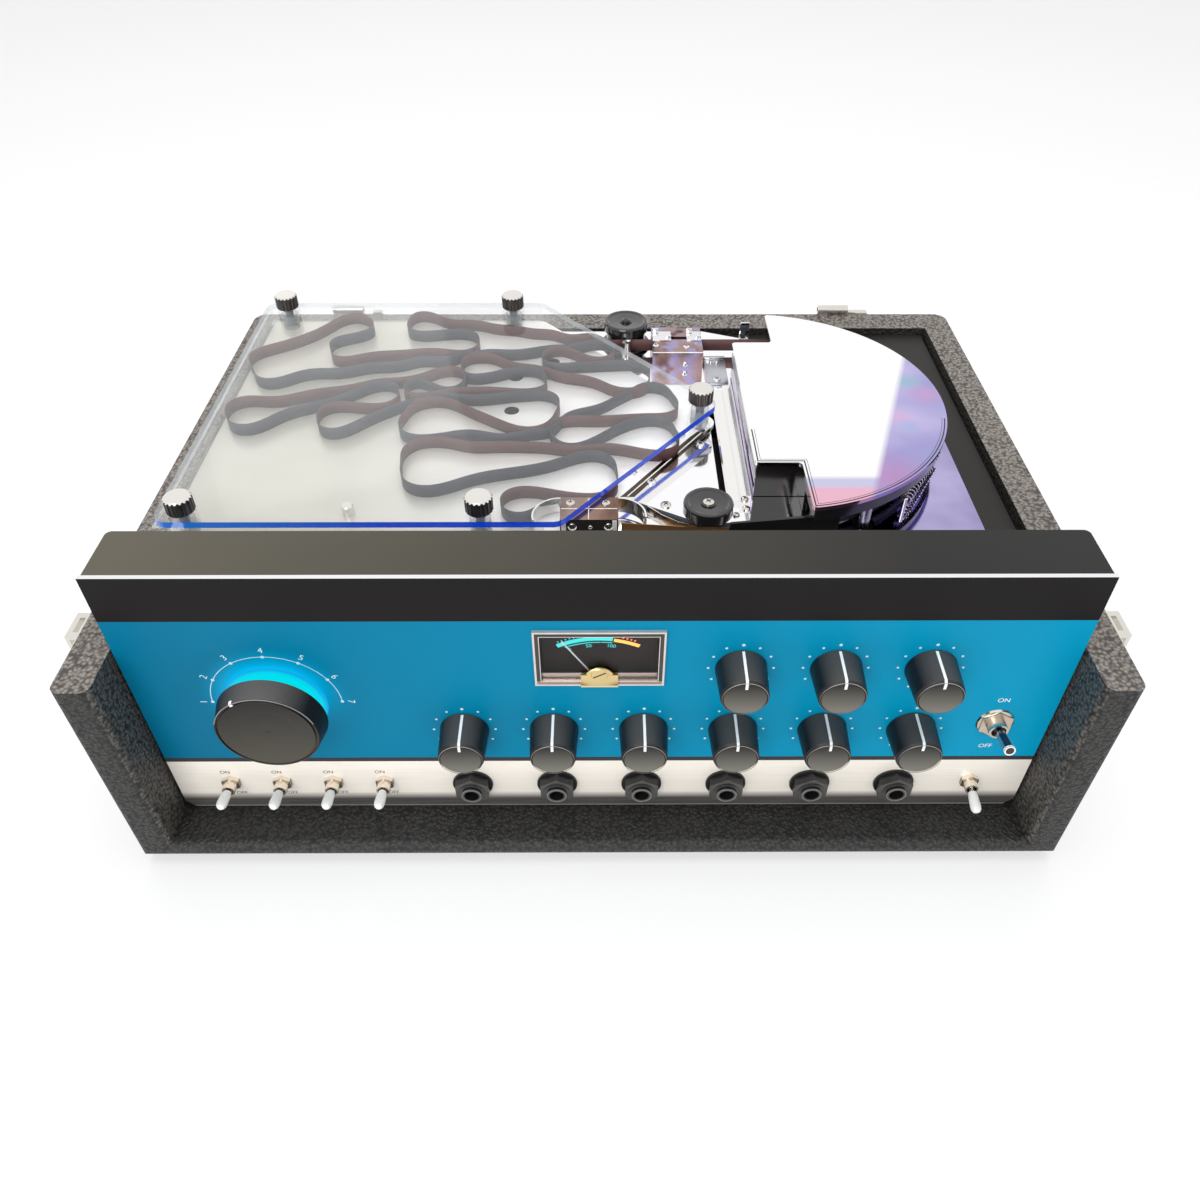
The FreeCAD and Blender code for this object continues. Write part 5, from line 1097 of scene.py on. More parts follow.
# ------------------------------------------------------------------ sub-assemblies
@dataclass
class Cabinet:
    """Covered case with its feet, latch keepers, hinge halves and the inlet."""

    finishes: Finishes
    screw: float = 1.7
    latch: tuple[float, float] = (209.0, -115.0)
    hinge: tuple[float, float] = (146.0, 150.9)
    screw_z: float = 98.0
    inlet: tuple[float, float] = (150.0, 50.5)

    def build(self) -> None:
        """Dress the case hardware and add its screws."""
        f = self.finishes
        dress_nodes({"case_shell": f.covering, "rubber_feet": f.rubber, "latch_catches": f.nickel,
                     "lid_hinges": f.nickel, "power_inlet": f.gloss_black})
        self.hardware_screws()
        self.inlet_pins()
        self.hinge_knuckles()

    def hinge_knuckles(self) -> None:
        """Outer knuckles on each side of a hinge's barrel."""
        bm = bmesh.new()
        for side in (-1, 1):
            for x0, x1 in ((131.9, 137.6), (149.5, 161.0)):
                low, high = sorted((side * x0, side * x1))
                add_box(bm, (low, 148.6, 112.4), (high, 152.6, 119.8), 0.9)
        put(bm, "hinge_knuckles", "cabinet", self.finishes.nickel)

    def hardware_screws(self) -> None:
        """Screws in the latch plates and hinge leaves."""
        bm = bmesh.new()
        for side in (-1, 1):
            for dy in (-7.5, 7.5):
                verts_before = set(bm.verts)
                add_screw(bm, (0, 0, 0), self.screw, 0.8)
                fresh = [v for v in bm.verts if v not in verts_before]
                turn_about(bm, fresh, (0, 0, 0), "Y", 90 * side)
                shift(bm, (side * self.latch[0], self.latch[1] + dy, self.screw_z), fresh)
            for dx in (-10.0, 0.0, 10.0):
                add_screw(bm, (self.hinge[0] * side + dx, self.hinge[1], self.screw_z), self.screw, 0.8, "-Y",
                          20.0 * dx)
        put(bm, "case_screws", "cabinet", [self.finishes.nickel, self.finishes.print_black])

    def inlet_pins(self) -> None:
        """Three contact blades in the mouth of the inlet."""
        bm = bmesh.new()
        for dx, dz in ((-6.0, -1.5), (6.0, -1.5), (0.0, 2.5)):
            x, z = self.inlet[0] + dx, self.inlet[1] + dz
            add_box(bm, (x - 1, 135.4, z - 2), (x + 1, 146.0, z + 2), 0.2)
        put(bm, "inlet_blades", "cabinet", self.finishes.nickel)


@dataclass
class FrontPanel:
    """Visor, panel, printed scales and the power switch's dress ring."""

    finishes: Finishes
    dot: float = 0.55
    tick_radius: float = 13.1
    dot_angles: tuple[int, ...] = tuple(range(-150, 151, 30))
    scale_radius: float = 26.7
    scale_line: float = 0.17
    number_radius: float = 30.3
    numbers: int = 7

    def build(self) -> None:
        """Dress and print the panel."""
        f = self.finishes
        dress_nodes({"visor_hood": f.visor, "front_panel": f.panel, "glow_ring": f.ring_light})
        self.knob_dots()
        self.mode_scale()
        self.switch_words()
        self.dress_ring()

    def knob_dots(self) -> None:
        """Eleven dots round each level knob."""
        bm = bmesh.new()
        for x, z in zip(KNOB_X, KNOB_Z):
            for angle in self.dot_angles:
                a = math.radians(angle)
                place = (x + self.tick_radius * math.sin(a), PANEL_Y - 0.03, z + self.tick_radius * math.cos(a))
                add_disc(bm, place, self.dot * (1.25 if angle == 0 else 1.0), 12)
        put(bm, "scale_dots", "cabinet", self.finishes.print_blue, False)

    def mode_scale(self) -> None:
        """Arc, dots and plain numbers round the upper half of the mode knob."""
        bm = bmesh.new()
        inner, outer = ([(x, PANEL_Y - 0.03, z) for x, z in arc(MODE_X, MODE_Z, radius, 0, 180, 72)]
                        for radius in (self.scale_radius - self.scale_line, self.scale_radius + self.scale_line))
        add_between(bm, inner, outer)
        turns = [180 * i / (self.numbers - 1) for i in range(self.numbers)]
        for turn in turns:
            a = math.radians(180 - turn)
            add_disc(bm, (MODE_X + self.scale_radius * math.cos(a), PANEL_Y - 0.035,
                          MODE_Z + self.scale_radius * math.sin(a)), 0.75, 14)
        put(bm, "mode_scale", "cabinet", self.finishes.print_blue, False)
        for number, turn in enumerate(turns, 1):
            a = math.radians(180 - turn)
            lettering(str(number), 4.2, MODE_X + self.number_radius * math.cos(a),
                      MODE_Z + self.number_radius * math.sin(a), self.finishes.print_blue,
                      f"mode_number_{number}", turn - 90)

    def switch_words(self) -> None:
        """ON and OFF at the power switch and at the small toggles."""
        lettering("ON", 3.4, 167.6, 87.9, self.finishes.print_white, "power_on")
        lettering("OFF", 3.4, 167.5, 58.0, self.finishes.print_white, "power_off")
        for i, x in enumerate(MINI_X):
            lettering("ON", 2.9, x - 1.4, 40.3, self.finishes.print_black, f"toggle_on_{i + 1}")
            lettering("OFF", 2.9, x + 2.6, 25.2, self.finishes.print_black, f"toggle_off_{i + 1}")

    def dress_ring(self) -> None:
        """Bright round ring under the power switch's nut."""
        bm = bmesh.new()
        profile = [(4.3, 0.0), (4.3, 1.0), (6.4, 1.3), (7.6, 0.8), (8.0, 0.0)]
        add_lathe(bm, profile, (POWER_PIVOT[0], PANEL_Y - 0.05, POWER_PIVOT[2]), "Y", 48)
        put(bm, "power_dress_ring", "cabinet", self.finishes.nut)


@dataclass
class MeterFace:
    """Dial card, printed arcs and numbers, lower trim and zero boss of the level meter."""

    finishes: Finishes
    centre_z: float = 114.5
    card_y: float = -126.75
    arc_z: float = 84.0
    outer: float = 37.2
    boss_z: float = 104.2
    boss_radius: float = 6.0
    boss_y: float = -133.0

    def build(self) -> None:
        """Dress the housing and add what is behind its pane."""
        f = self.finishes
        dress_nodes({"meter_housing": f.meter_frame, "meter_window": f.pane, "meter_needle": f.print_white})
        self.card()
        self.scale()
        self.numbers()
        self.zero_boss()

    def card(self) -> None:
        """Black card behind the needle, and the dusky trim along the foot of the pane."""
        bm = bmesh.new()
        add_box(bm, (-23.3, self.card_y, 97.2), (23.3, self.card_y + 0.5, 127.0), 0.1)
        add_box(bm, (-23.3, -131.3, 101.95), (23.3, -130.9, 105.1), 0.1, 1)
        put(bm, "meter_card", "cabinet", [self.finishes.meter_black, self.finishes.trim])

    def band(self, bm: bmesh.types.BMesh, low: float, high: float, start: float, end: float, mat: int) -> None:
        """One printed arc band between two radii, clockwise from the top in degrees."""
        inner, outer = ([(x, self.card_y - INK, z) for x, z in arc(0, self.arc_z, radius, 90 - start, 90 - end, 20)]
                        for radius in (low, high))
        add_between(bm, inner, outer, mat)

    def scale(self) -> None:
        """Cyan band with a thin line below, amber band to its right, and short ticks above."""
        bm = bmesh.new()
        top = self.outer
        self.band(bm, top - 2.1, top, -27.9, 8.4, 0)
        self.band(bm, top - 3.3, top - 2.85, -23.8, 0.7, 0)
        self.band(bm, top - 3.3, top - 2.85, 1.3, 8.6, 0)
        self.band(bm, top - 2.4, top - 0.7, 9.3, 26.6, 1)
        for at in (-26.0, -23.5, -21.0, -18.5, -16.0, -13.5):
            self.band(bm, top + 0.5, top + 1.2, at, at + 0.7, 0)
        for at in (14.0, 16.5, 19.0, 21.5):
            self.band(bm, top - 0.1, top + 0.9, at, at + 1.2, 2)
        materials = [self.finishes.meter_cyan, self.finishes.meter_amber, self.finishes.meter_red]
        put(bm, "meter_scale", "cabinet", materials, False)

    def numbers(self) -> None:
        """Plain numbers under the thin line."""
        for text, degrees in (("0", -21.6), ("50", -7.6), ("100", 8.4)):
            a = math.radians(degrees)
            radius = self.outer - 4.9
            lettering(text, 2.5, radius * math.sin(a), self.arc_z + radius * math.cos(a),
                      self.finishes.meter_cyan, f"meter_number_{text}", degrees, self.card_y - INK)

    def zero_boss(self) -> None:
        """Gilt half round on its wide foot, with a sunk slotted screw."""
        bm = bmesh.new()
        add_lathe(bm, [(0, 0.9), (self.boss_radius - 0.5, 0.9), (self.boss_radius, 0.5), (self.boss_radius, 0.0)],
                  (0, 0, 0), "Y", 48)
        keep_above(bm, 0.0)
        shift(bm, (0, self.boss_y, self.boss_z))
        low, high = self.centre_z - 14.0, self.boss_z + 2.4
        add_box(bm, (-7.5, self.boss_y - 1.1, low), (7.5, self.boss_y, high), 0.25)
        add_lathe(bm, [(3.5, 0.85), (3.5, 1.0), (3.2, 1.25), (0, 1.25)], (0, self.boss_y, high + 0.2), "Y", 32)
        slot = add_box(bm, (-2.9, -134.3, high - 0.15), (2.9, -134.2, high + 0.45), 0.0, 1)
        turn_about(bm, slot, (0, -134.25, high + 0.2), "Y", -30)
        put(bm, "meter_zero_boss", "cabinet", [self.finishes.brass, self.finishes.print_black])


@dataclass
class Controls:
    """Knobs with their white lines, jacks and toggle switches."""

    finishes: Finishes
    line: float = 0.55
    lever_tilt: float = 12.0

    def build(self) -> None:
        """Dress every control and add its marks."""
        f = self.finishes
        for i in range(len(KNOB_X)):
            dress_node(f"level_knob_{i + 1}", f.knob)
            self.knob_line(i)
        self.mode_mark()
        dress_nodes({"mode_knob": f.mode_knob, "potentiometers": f.brushed_z, "mode_switch": f.brushed_z,
                     "jack_sockets": f.jack, "toggle_bodies": f.nut, "output_toggle": f.chrome,
                     "power_toggle": f.lever})
        dress_nodes({f"mini_toggle_{i + 1}": f.chrome for i in range(len(MINI_X))})
        self.knob_rims()
        self.sleeves()
        self.jack_rings()
        self.power_tip()
        self.mode_rim()

    def mode_rim(self) -> None:
        """Thin pale line over the upper half of the mode knob's front edge, a painted highlight."""
        bm = bmesh.new()
        profile = [(20.5, 16.9), (20.75, 16.95), (20.6, 17.12), (20.35, 17.1), (20.5, 16.9)]
        add_lathe(bm, profile, (0, 0, 0), "Y", 72)
        keep_above(bm, 6.0)
        shift(bm, (MODE_X, PANEL_Y, MODE_Z))
        put(bm, "mode_rim", "mode_knob", self.finishes.ferrule)

    def knob_line(self, i: int) -> None:
        """White line along the top of a level knob and over its front."""
        side = [(-0.9, 10.45), (-15.2, 9.72), (-16.55, 8.6), (-16.58, 5.6), (-16.2, 5.6), (-16.0, 8.2),
                (-14.8, 9.3), (-0.9, 10.0)]
        bm = bmesh.new()
        add_strip(bm, side, self.line)
        shift(bm, (KNOB_X[i], PANEL_Y, KNOB_Z[i]))
        put(bm, f"knob_line_{i + 1}", f"level_knob_{i + 1}", self.finishes.print_white, False)

    def mode_mark(self) -> None:
        """White mark over the front edge of the mode knob, pointing at the third number."""
        bm = bmesh.new()
        add_strip(bm, [(-15.4, 21.1), (-16.9, 20.8), (-17.12, 20.5), (-17.12, 19.5), (-16.8, 19.5),
                       (-16.6, 20.2), (-15.4, 20.7)], 0.7)
        turn_about(bm, bm.verts, (0, 0, 0), "Y", -30)
        shift(bm, (MODE_X, PANEL_Y, MODE_Z))
        put(bm, "mode_mark", "mode_knob", self.finishes.print_white, False)

    def knob_rims(self) -> None:
        """Thin line round the front edge of every level knob, a painted highlight."""
        profile = [(9.0, 16.35), (9.16, 16.5), (9.0, 16.62), (8.84, 16.5), (9.0, 16.35)]
        for i, (x, z) in enumerate(zip(KNOB_X, KNOB_Z), 1):
            bm = bmesh.new()
            add_lathe(bm, profile, (x, PANEL_Y, z), "Y", 48)
            put(bm, f"knob_rim_{i}", f"level_knob_{i}", self.finishes.edge_line)

    def sleeves(self) -> None:
        """White plastic sleeves on the small levers."""
        profile = [(1.35, 3.2), (1.75, 3.2), (2.1, 5.0), (2.35, 9.6), (2.2, 11.4), (1.5, 12.4), (0.0, 12.8)]
        levers = [(f"mini_toggle_{i + 1}", x, -self.lever_tilt) for i, x in enumerate(MINI_X)]
        for name, x, turn in [*levers, ("output_toggle", OUTPUT_X, self.lever_tilt)]:
            bm = bmesh.new()
            turn_about(bm, add_lathe(bm, profile, (0, 0, 0), "Y", 32), (0, 0, 0), "X", turn)
            shift(bm, (x, LEVER_Y, LEVER_Z))
            put(bm, f"{name}_sleeve", name, self.finishes.white_plastic)

    def jack_rings(self) -> None:
        """Pale ferrule inside each jack's mouth."""
        bm = bmesh.new()
        for x in JACK_X:
            add_lathe(bm, [(4.05, 7.25), (4.15, 7.42), (4.42, 7.42), (4.47, 7.0)], (x, PANEL_Y, JACK_Z), "Y", 32)
        put(bm, "jack_ferrules", "cabinet", self.finishes.ferrule)

    def power_tip(self) -> None:
        """Bright rim and dark hollow at the end of the power switch's lever."""
        bm = bmesh.new()
        verts = add_lathe(bm, [(1.65, 15.2), (1.75, 15.5), (2.3, 15.5), (2.44, 15.2), (2.44, 14.6)], (0, 0, 0),
                          "Y", 36)
        verts += add_lathe(bm, [(0.0, 15.25), (1.66, 15.35), (1.72, 15.1)], (0, 0, 0), "Y", 24, 1)
        turn_about(bm, verts, (0, 0, 0), "X", -self.lever_tilt)
        shift(bm, POWER_PIVOT)
        put(bm, "power_tip", "power_toggle", [self.finishes.white_plastic, self.finishes.print_black])


# Folds of the tape: across, back, radius and side of each turn, in the case's own measure from its front.
FOLDS = (
    (-35.0, 95.5, 8.0, -1), (-6.0, 116.5, 14.0, 1), (-75.0, 126.5, 16.5, -1), (24.0, 149.5, 12.5, 1),
    (-14.0, 151.5, 9.5, -1), (25.0, 179.0, 12.5, 1), (-42.0, 175.0, 25.0, -1), (-82.0, 164.0, 14.5, -1),
    (-36.0, 171.0, 14.5, 1), (-82.0, 164.0, 18.5, 1), (-129.0, 165.5, 9.5, -1), (-110.0, 185.5, 8.5, 1),
    (-174.0, 168.5, 9.5, -1), (-78.0, 199.5, 8.0, -1), (-94.0, 193.0, 5.5, 1), (-37.0, 200.0, 9.0, 1),
    (-64.0, 214.0, 9.0, -1), (14.0, 203.5, 11.5, 1), (-23.0, 224.0, 7.5, -1), (1.0, 229.0, 6.5, 1),
    (-64.0, 214.0, 12.5, 1), (-168.0, 219.0, 16.0, -1), (-137.0, 258.5, 9.0, -1), (-136.0, 234.0, 10.0, 1),
    (-74.0, 239.5, 8.0, 1), (-100.0, 260.0, 8.0, -1), (14.0, 250.0, 11.0, 1), (78.0, 161.5, 77.5, -1),
    (46.5, 87.0, 8.2, -1), (8.0, 84.4, 12.64, 1), (-17.0, 84.4, 12.64, 1),
)


@dataclass
class TapeRibbon:
    """The endless tape as a two-sided springy ribbon along its runs and turns."""

    finishes: Finishes
    width: float = 6.75
    thick: float = 0.2
    low: float = 128.7
    fold_front: float = -153.0
    step: float = 3.6
    spare: float = 1.09
    rounds: int = 260
    stiffness: float = 0.04
    pull: float = 0.225
    push: float = 0.25
    gap: float = 1.8
    loose_folds: int = 26

    def route(self) -> tuple[np.ndarray, np.ndarray]:
        """Lay the middle line of the whole loop through its turns.

        Returns:
            The points in millimetres, and which of them are held in place.
        """
        turns = [(x, y + self.fold_front, r, s) for x, y, r, s in FOLDS]
        runs = []
        for i, a in enumerate(turns):
            b = turns[(i + 1) % len(turns)]
            dx, dy = b[0] - a[0], b[1] - a[1]
            heading = math.atan2(dy, dx) - math.asin((b[3] * b[2] - a[3] * a[2]) / math.hypot(dx, dy))
            nx, ny = -math.sin(heading), math.cos(heading)
            runs.append(((a[0] - a[3] * a[2] * nx, a[1] - a[3] * a[2] * ny),
                         (b[0] - b[3] * b[2] * nx, b[1] - b[3] * b[2] * ny)))
        points: list[Flat] = []
        held: list[bool] = []
        for i, (cx, cy, radius, side) in enumerate(turns):
            start, end = runs[i - 1][1], runs[i][0]
            a0 = math.atan2(start[1] - cy, start[0] - cx)
            sweep = (math.atan2(end[1] - cy, end[0] - cx) - a0) * side % (2 * math.pi)
            count = 2 * max(2, round(sweep * radius / self.step / 2))
            guided = i >= self.loose_folds
            for k in range(count):
                a = a0 + side * sweep * k / count
                points.append((cx + radius * math.cos(a), cy + radius * math.sin(a)))
                held.append(guided or k == count // 2 or (i == 0 and k < count // 2))
            (x0, y0), (x1, y1) = runs[i]
            count = max(1, int(math.hypot(x1 - x0, y1 - y0) / self.step))
            points += [(x0 + (x1 - x0) * k / count, y0 + (y1 - y0) * k / count) for k in range(count)]
            held += [guided] * count
        return np.array(points), np.array(held)

    def relaxed(self) -> np.ndarray:
        """Let the loose folds spring out between their held tips.

        The strip keeps its stiffness and a little spare length, and its runs push each other apart.

        Returns:
            The points of the middle line, drawn finer by two rounds of four-point interpolation.
        """
        start, held = self.route()
        fixed = held[:, None]
        count = len(start)
        length = np.linalg.norm(np.roll(start, -1, 0) - start, axis=1)
        steady = held & np.roll(held, -1)
        order = np.arange(count)
        apart = np.abs(order[:, None] - order[None, :])
        apart = np.minimum(apart, count - apart) >= 5
        points = start.copy()
        for step in range(self.rounds):
            grown = 1 + (self.spare - 1) * min(1.0, 2.0 * step / self.rounds)
            bend = (np.roll(points, 2, 0) - 4 * np.roll(points, 1, 0) + 6 * points - 4 * np.roll(points, -1, 0)
                    + np.roll(points, -2, 0))
            points = np.where(fixed, start, points - self.stiffness * bend)
            for _ in range(6):
                span = np.roll(points, -1, 0) - points
                now = np.linalg.norm(span, axis=1)
                pull = (self.pull * (now - length * np.where(steady, 1.0, grown)) / now)[:, None] * span
                points = np.where(fixed, start, points + pull - np.roll(pull, 1, 0))
            across = points[:, None, :] - points[None, :, :]
            reach = np.sqrt((across ** 2).sum(2)) + 1e-9
            push = np.where((reach < self.gap) & apart, (self.gap - reach) / reach * self.push, 0.0)
            points = np.where(fixed, start, points + (push[:, :, None] * across).sum(1))
        for _ in range(2):
            middle = (9 * (points + np.roll(points, -1, 0)) - np.roll(points, 1, 0) - np.roll(points, -2, 0)) / 16
            points = np.stack([points, middle], 1).reshape(-1, 2)
        return points

    def build(self) -> None:
        """Stand the ribbon up along its route and give each side its own coat."""
        bm = bmesh.new()
        line = self.relaxed()
        add_band(bm, line, self.low, self.width)
        piece = put(bm, "tape_ribbon", "cabinet", [self.finishes.tape_brown, self.finishes.tape_grey])
        self.face_right(piece, line[:2])
        wall = thicken(piece, self.thick)
        wall.material_offset = 1
        wall.material_offset_rim = 1
        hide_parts("tape_loop")

    def face_right(self, piece: bpy.types.Object, first: np.ndarray) -> None:
        """Turn the ribbon's faces so that they look to the right of its run from its first point."""
        (x0, y0), (x1, y1) = (tuple(float(v) for v in point) for point in first)
        right = Vector((y1 - y0, x0 - x1, 0)).normalized()
        middle = Vector(((x0 + x1) / 2 * MM, (y0 + y1) / 2 * MM, 0))
        nearest = min(piece.data.polygons, key=lambda face: (face.center.xy - middle.xy).length)
        if nearest.normal.dot(right) < 0:
            piece.data.flip_normals()


@dataclass
class Tray:
    """Clear-lidded tray with its posts, thumbscrews and floor holes."""

    finishes: Finishes

    def build(self) -> None:
        """Dress the tray and add floor details."""
        f = self.finishes
        dress_nodes({"tray_floor": f.floor, "tray_walls": f.wall, "tray_posts": f.clear, "tray_cover": f.cover})
        dress_nodes({f"thumbscrew_{i + 1}": f.knurled for i in range(5)})
        bm = bmesh.new()
        add_lathe(bm, [(2.6, 0), (2.6, 4.5), (2.2, 5.0), (0, 5.0)], (-110.5, -58.0, FLOOR_Z), "Z", 32)
        put(bm, "floor_peg", "cabinet", f.nickel)
        self.hole_cups()
        self.channel()

    def hole_cups(self) -> None:
        """Matt black cups in the three holes of the floor, painted shade where the holes are dark."""
        profile = [(0.0, 0.1), (3.5, 0.1), (3.68, 0.4), (3.72, 1.9), (3.6, 1.9), (3.5, 0.3), (0.0, 0.25)]
        bm = bmesh.new()
        for x, y in ((-44.6, 25.6), (-44.6, 57.8), (-25.7, 73.9)):
            add_lathe(bm, profile, (x, y, DECK_Z), "Z", 32)
        put(bm, "floor_hole_shades", "cabinet", self.finishes.printed_matt)

    def channel(self) -> None:
        """Dark bronze strip along the floor's slanted side, with its light line, screws and end bracket."""
        f = self.finishes
        bm = bmesh.new()
        add_slab(bm, [(9.4, -46.0), (15.5, -46.0), (54.2, 8.6), (51.0, 10.4), (43.0, 0.9)], 127.4, 128.68)
        for (x0, y0), (x1, y1), wide in (((12.4, -46.0), (52.7, 9.6), 0.25), ((9.9, -45.4), (43.4, 1.4), 0.12)):
            span = math.hypot(x1 - x0, y1 - y0)
            rib = add_box(bm, (0.0, -wide, FLOOR_Z), (span, wide, FLOOR_Z + 0.45), 0.05, 1)
            turn_about(bm, rib, (0, 0, 0), "Z", math.degrees(math.atan2(y1 - y0, x1 - x0)))
            shift(bm, (x0, y0, 0), rib)
        add_slab(bm, [(50.4, 3.2), (54.0, 8.2), (53.8, 12.0), (44.6, 12.0), (43.6, 10.4)], FLOOR_Z, FLOOR_Z + 1.3,
                 0.2, 2)
        for x, y in ((15.2, -28.1), (39.4, 2.9)):
            add_screw(bm, (x, y, FLOOR_Z + 0.05), 2.1, 1.2, "Z", 23.0 * x, 2)
        for x, y in ((23.6, -35.0), (48.4, -5.0)):
            add_lathe(bm, [(2.7, 0.0), (2.7, 1.7), (2.4, 2.0), (0.0, 2.0)], (x, y, DECK_Z), "Z", 24, 2)
            add_screw(bm, (x, y, DECK_Z + 2.0), 2.1, 1.2, "Z", 31.0 * x, 2)
        put(bm, "slanted_channel", "cabinet", [f.bronze, f.white_plastic, f.chrome, f.print_black])


@dataclass
class Transport:
    """Deck, rollers, guide blocks and the head bay."""

    finishes: Finishes
    cover_radius: float = 85.8
    cover_left: float = 68.5
    notch: tuple[float, float] = (89.0, -44.2)
    spring_radius: float = 84.0
    spring_ends: tuple[float, float] = (-47.0, -16.0)

    def build(self) -> None:
        """Dress the transport and add its small hardware."""
        f = self.finishes
        dress_nodes({"chassis": f.chassis, "deck_plate": f.deck, "front_roller": f.gloss_black,
                     "rear_roller": f.gloss_black, "head_cover_plate": f.mirror, "head_cover_skirt": f.gloss_black,
                     "head_bridge": f.bridge, "tape_heads": f.nickel, "pinch_arm": f.nickel,
                     "pinch_roller": f.rubber, "capstan_flywheel": f.brushed_z, "tape_guides": f.guides})
        self.roller_screws()
        self.block_screws()
        self.clips()
        self.cover_lines()
        self.front_leaf()
        self.deck_screws()
        self.spring()

    def roller_screws(self) -> None:
        """Cross-head screw on top of each roller cap."""
        f = self.finishes
        for name, place, head in (("front_roller", FRONT_ROLLER, f.nickel),
                                  ("rear_roller", REAR_ROLLER, f.gloss_black)):
            bm = bmesh.new()
            add_screw(bm, (*place, 140.85), 2.4, 1.1, "Z", 30.0)
            put(bm, f"{name}_screw", name, [head, f.print_black])

    def block_screws(self) -> None:
        """Screws in the top and the front of the front guide block, and pale lines scribed on its top."""
        bm = bmesh.new()
        for x in (-12.7, 2.6):
            add_screw(bm, (x, -60.5, BLOCK_TOP_Z), 2.0, 1.0, "Z", 15.0 * x)
        for x, r in ((-11.7, 1.9), (3.8, 1.9), (-4.0, 1.0)):
            add_screw(bm, (x, -72.0, 132.5), r, 0.9, "Y", 11.0 * x)
        low, high = BLOCK_TOP_Z - 0.05, BLOCK_TOP_Z + 0.06
        add_box(bm, (-16.6, -64.6, low), (7.6, -64.2, high), 0.0, 2)
        add_box(bm, (-4.9, -71.6, low), (-4.6, -56.8, high), 0.0, 2)
        for x in (-16.4, 5.4):
            add_box(bm, (x, -72.35, 129.4), (x + 2.0, -72.0, 135.9), 0.1, 2)
        materials = [self.finishes.nickel, self.finishes.print_black, self.finishes.white_plastic]
        put(bm, "guide_block_screws", "cabinet", materials)

    def clips(self) -> None:
        """Bent spring clips and their screws on the rear guide block, and a bracket behind the rail."""
        bm = bmesh.new()
        top = BLOCK_TOP_Z
        for x0, x1 in ((28.3, 38.4), (46.8, 54.5)):
            add_box(bm, (x0, 82.4, top - 0.05), (x1, 92.2, top + 0.7), 0.2)
            add_box(bm, (x0, 90.6, top + 0.5), (x0 + 3.4, 92.2, top + 2.7), 0.3)
            add_box(bm, (x1 - 3.0, 84.0, top + 0.5), (x1, 86.0, top + 2.1), 0.3)
        for x, y in ((29.8, 77.4), (46.2, 76.1)):
            add_screw(bm, (x, y, top), 1.7, 0.9, "Z", 9.0 * x)
        add_screw(bm, (45.5, 70.0, 129.4), 1.5, 0.9, "Y", 20.0)
        add_box(bm, (28.0, 69.75, top - 0.15), (54.9, 70.35, top + 0.2), 0.1, 2)
        add_box(bm, (55.6, 53.0, DECK_Z), (67.4, 77.6, DECK_Z + 1.8), 0.3, 3)
        add_box(bm, (55.6, 76.6, DECK_Z + 1.0), (67.4, 78.2, DECK_Z + 3.2), 0.3)
        for x, y, r in ((59.6, 73.6, 1.0), (62.8, 73.6, 1.0), (61.4, 55.6, 2.2), (66.2, 49.8, 1.7)):
            add_screw(bm, (x, y, DECK_Z + (1.8 if y > 53 else 0.0)), r, 1.1, "Z", 40.0)
        add_box(bm, (75.6, 93.6, DECK_Z), (84.2, 98.8, DECK_Z + 1.2), 0.3)
        add_box(bm, (77.2, 97.6, DECK_Z + 0.8), (82.4, 98.8, 139.2), 0.4)
        for x in (77.0, 82.8):
            add_screw(bm, (x, 95.6, DECK_Z + 1.2), 1.6, 1.2, "Z", 17.0 * x)
        materials = [self.finishes.chrome, self.finishes.print_black, self.finishes.white_plastic,
                     self.finishes.plate_grey]
        put(bm, "spring_clips", "cabinet", materials)

    def cover_lines(self) -> None:
        """Dark line just inside the head cover's edge, and the banded side of its skirt."""
        f = self.finishes
        step_x, near_y = self.notch

        def outline(inset: float) -> list[Flat]:
            """Line moved inwards from the plate's edge: round the front notch and the front of the arc."""
            reach = self.cover_radius - inset
            left, step = self.cover_left + inset, step_x + inset
            half = math.degrees(math.acos((step - HEAD_X) / reach))
            return [(left, -18.0), (left, near_y + inset), (step, near_y + inset)] + arc(
                HEAD_X, HEAD_Y, reach, -half, -12.0, 60)

        bm = bmesh.new()
        for insets in ((0.9, 1.5), (2.3, 2.5)):
            add_between(bm, *([(x, y, 146.13) for x, y in outline(inset)] for inset in insets))
        put(bm, "cover_line", "head_cover", f.print_black, False)
        bm = bmesh.new()
        for low, high, material in ((127.4, 135.6, 0), (135.6, 136.6, 1), (136.6, 140.6, 2), (140.6, 142.4, 1),
                                    (142.4, 144.05, 2)):
            add_box(bm, (69.3 - 0.1 * material, -43.0, low), (69.55, 61.8, high), 0.05, material)
        put(bm, "cover_side_bands", "head_cover", [f.lilac_metal, f.gloss_black, f.plate_grey])

    def front_leaf(self) -> None:
        """Copper-coloured strip from the front block to the roller, and a pale leaf that tapers to its end."""
        f = self.finishes
        bm = bmesh.new()
        add_slab(bm, [(9.2, -73.0), (38.0, -75.6), (54.8, -76.0), (54.8, -75.7), (38.0, -75.3), (9.2, -72.7)],
                 DECK_Z, 135.2)
        path = ((20.6, -60.5), (26.0, -66.4), (33.0, -71.6), (41.0, -74.7))
        for i, ((x0, y0), (x1, y1)) in enumerate(zip(path, path[1:])):
            high = 135.9 - 0.2 * i
            add_slab(bm, [(x0, y0 - 1.6 + 0.4 * i), (x1, y1 - 1.2 + 0.4 * i), (x1, y1 - 0.5), (x0, y0 - 0.5)],
                     130.0, high, 0.1, 1)
        put(bm, "front_leaf", "cabinet", [f.copper_leaf, f.nickel])

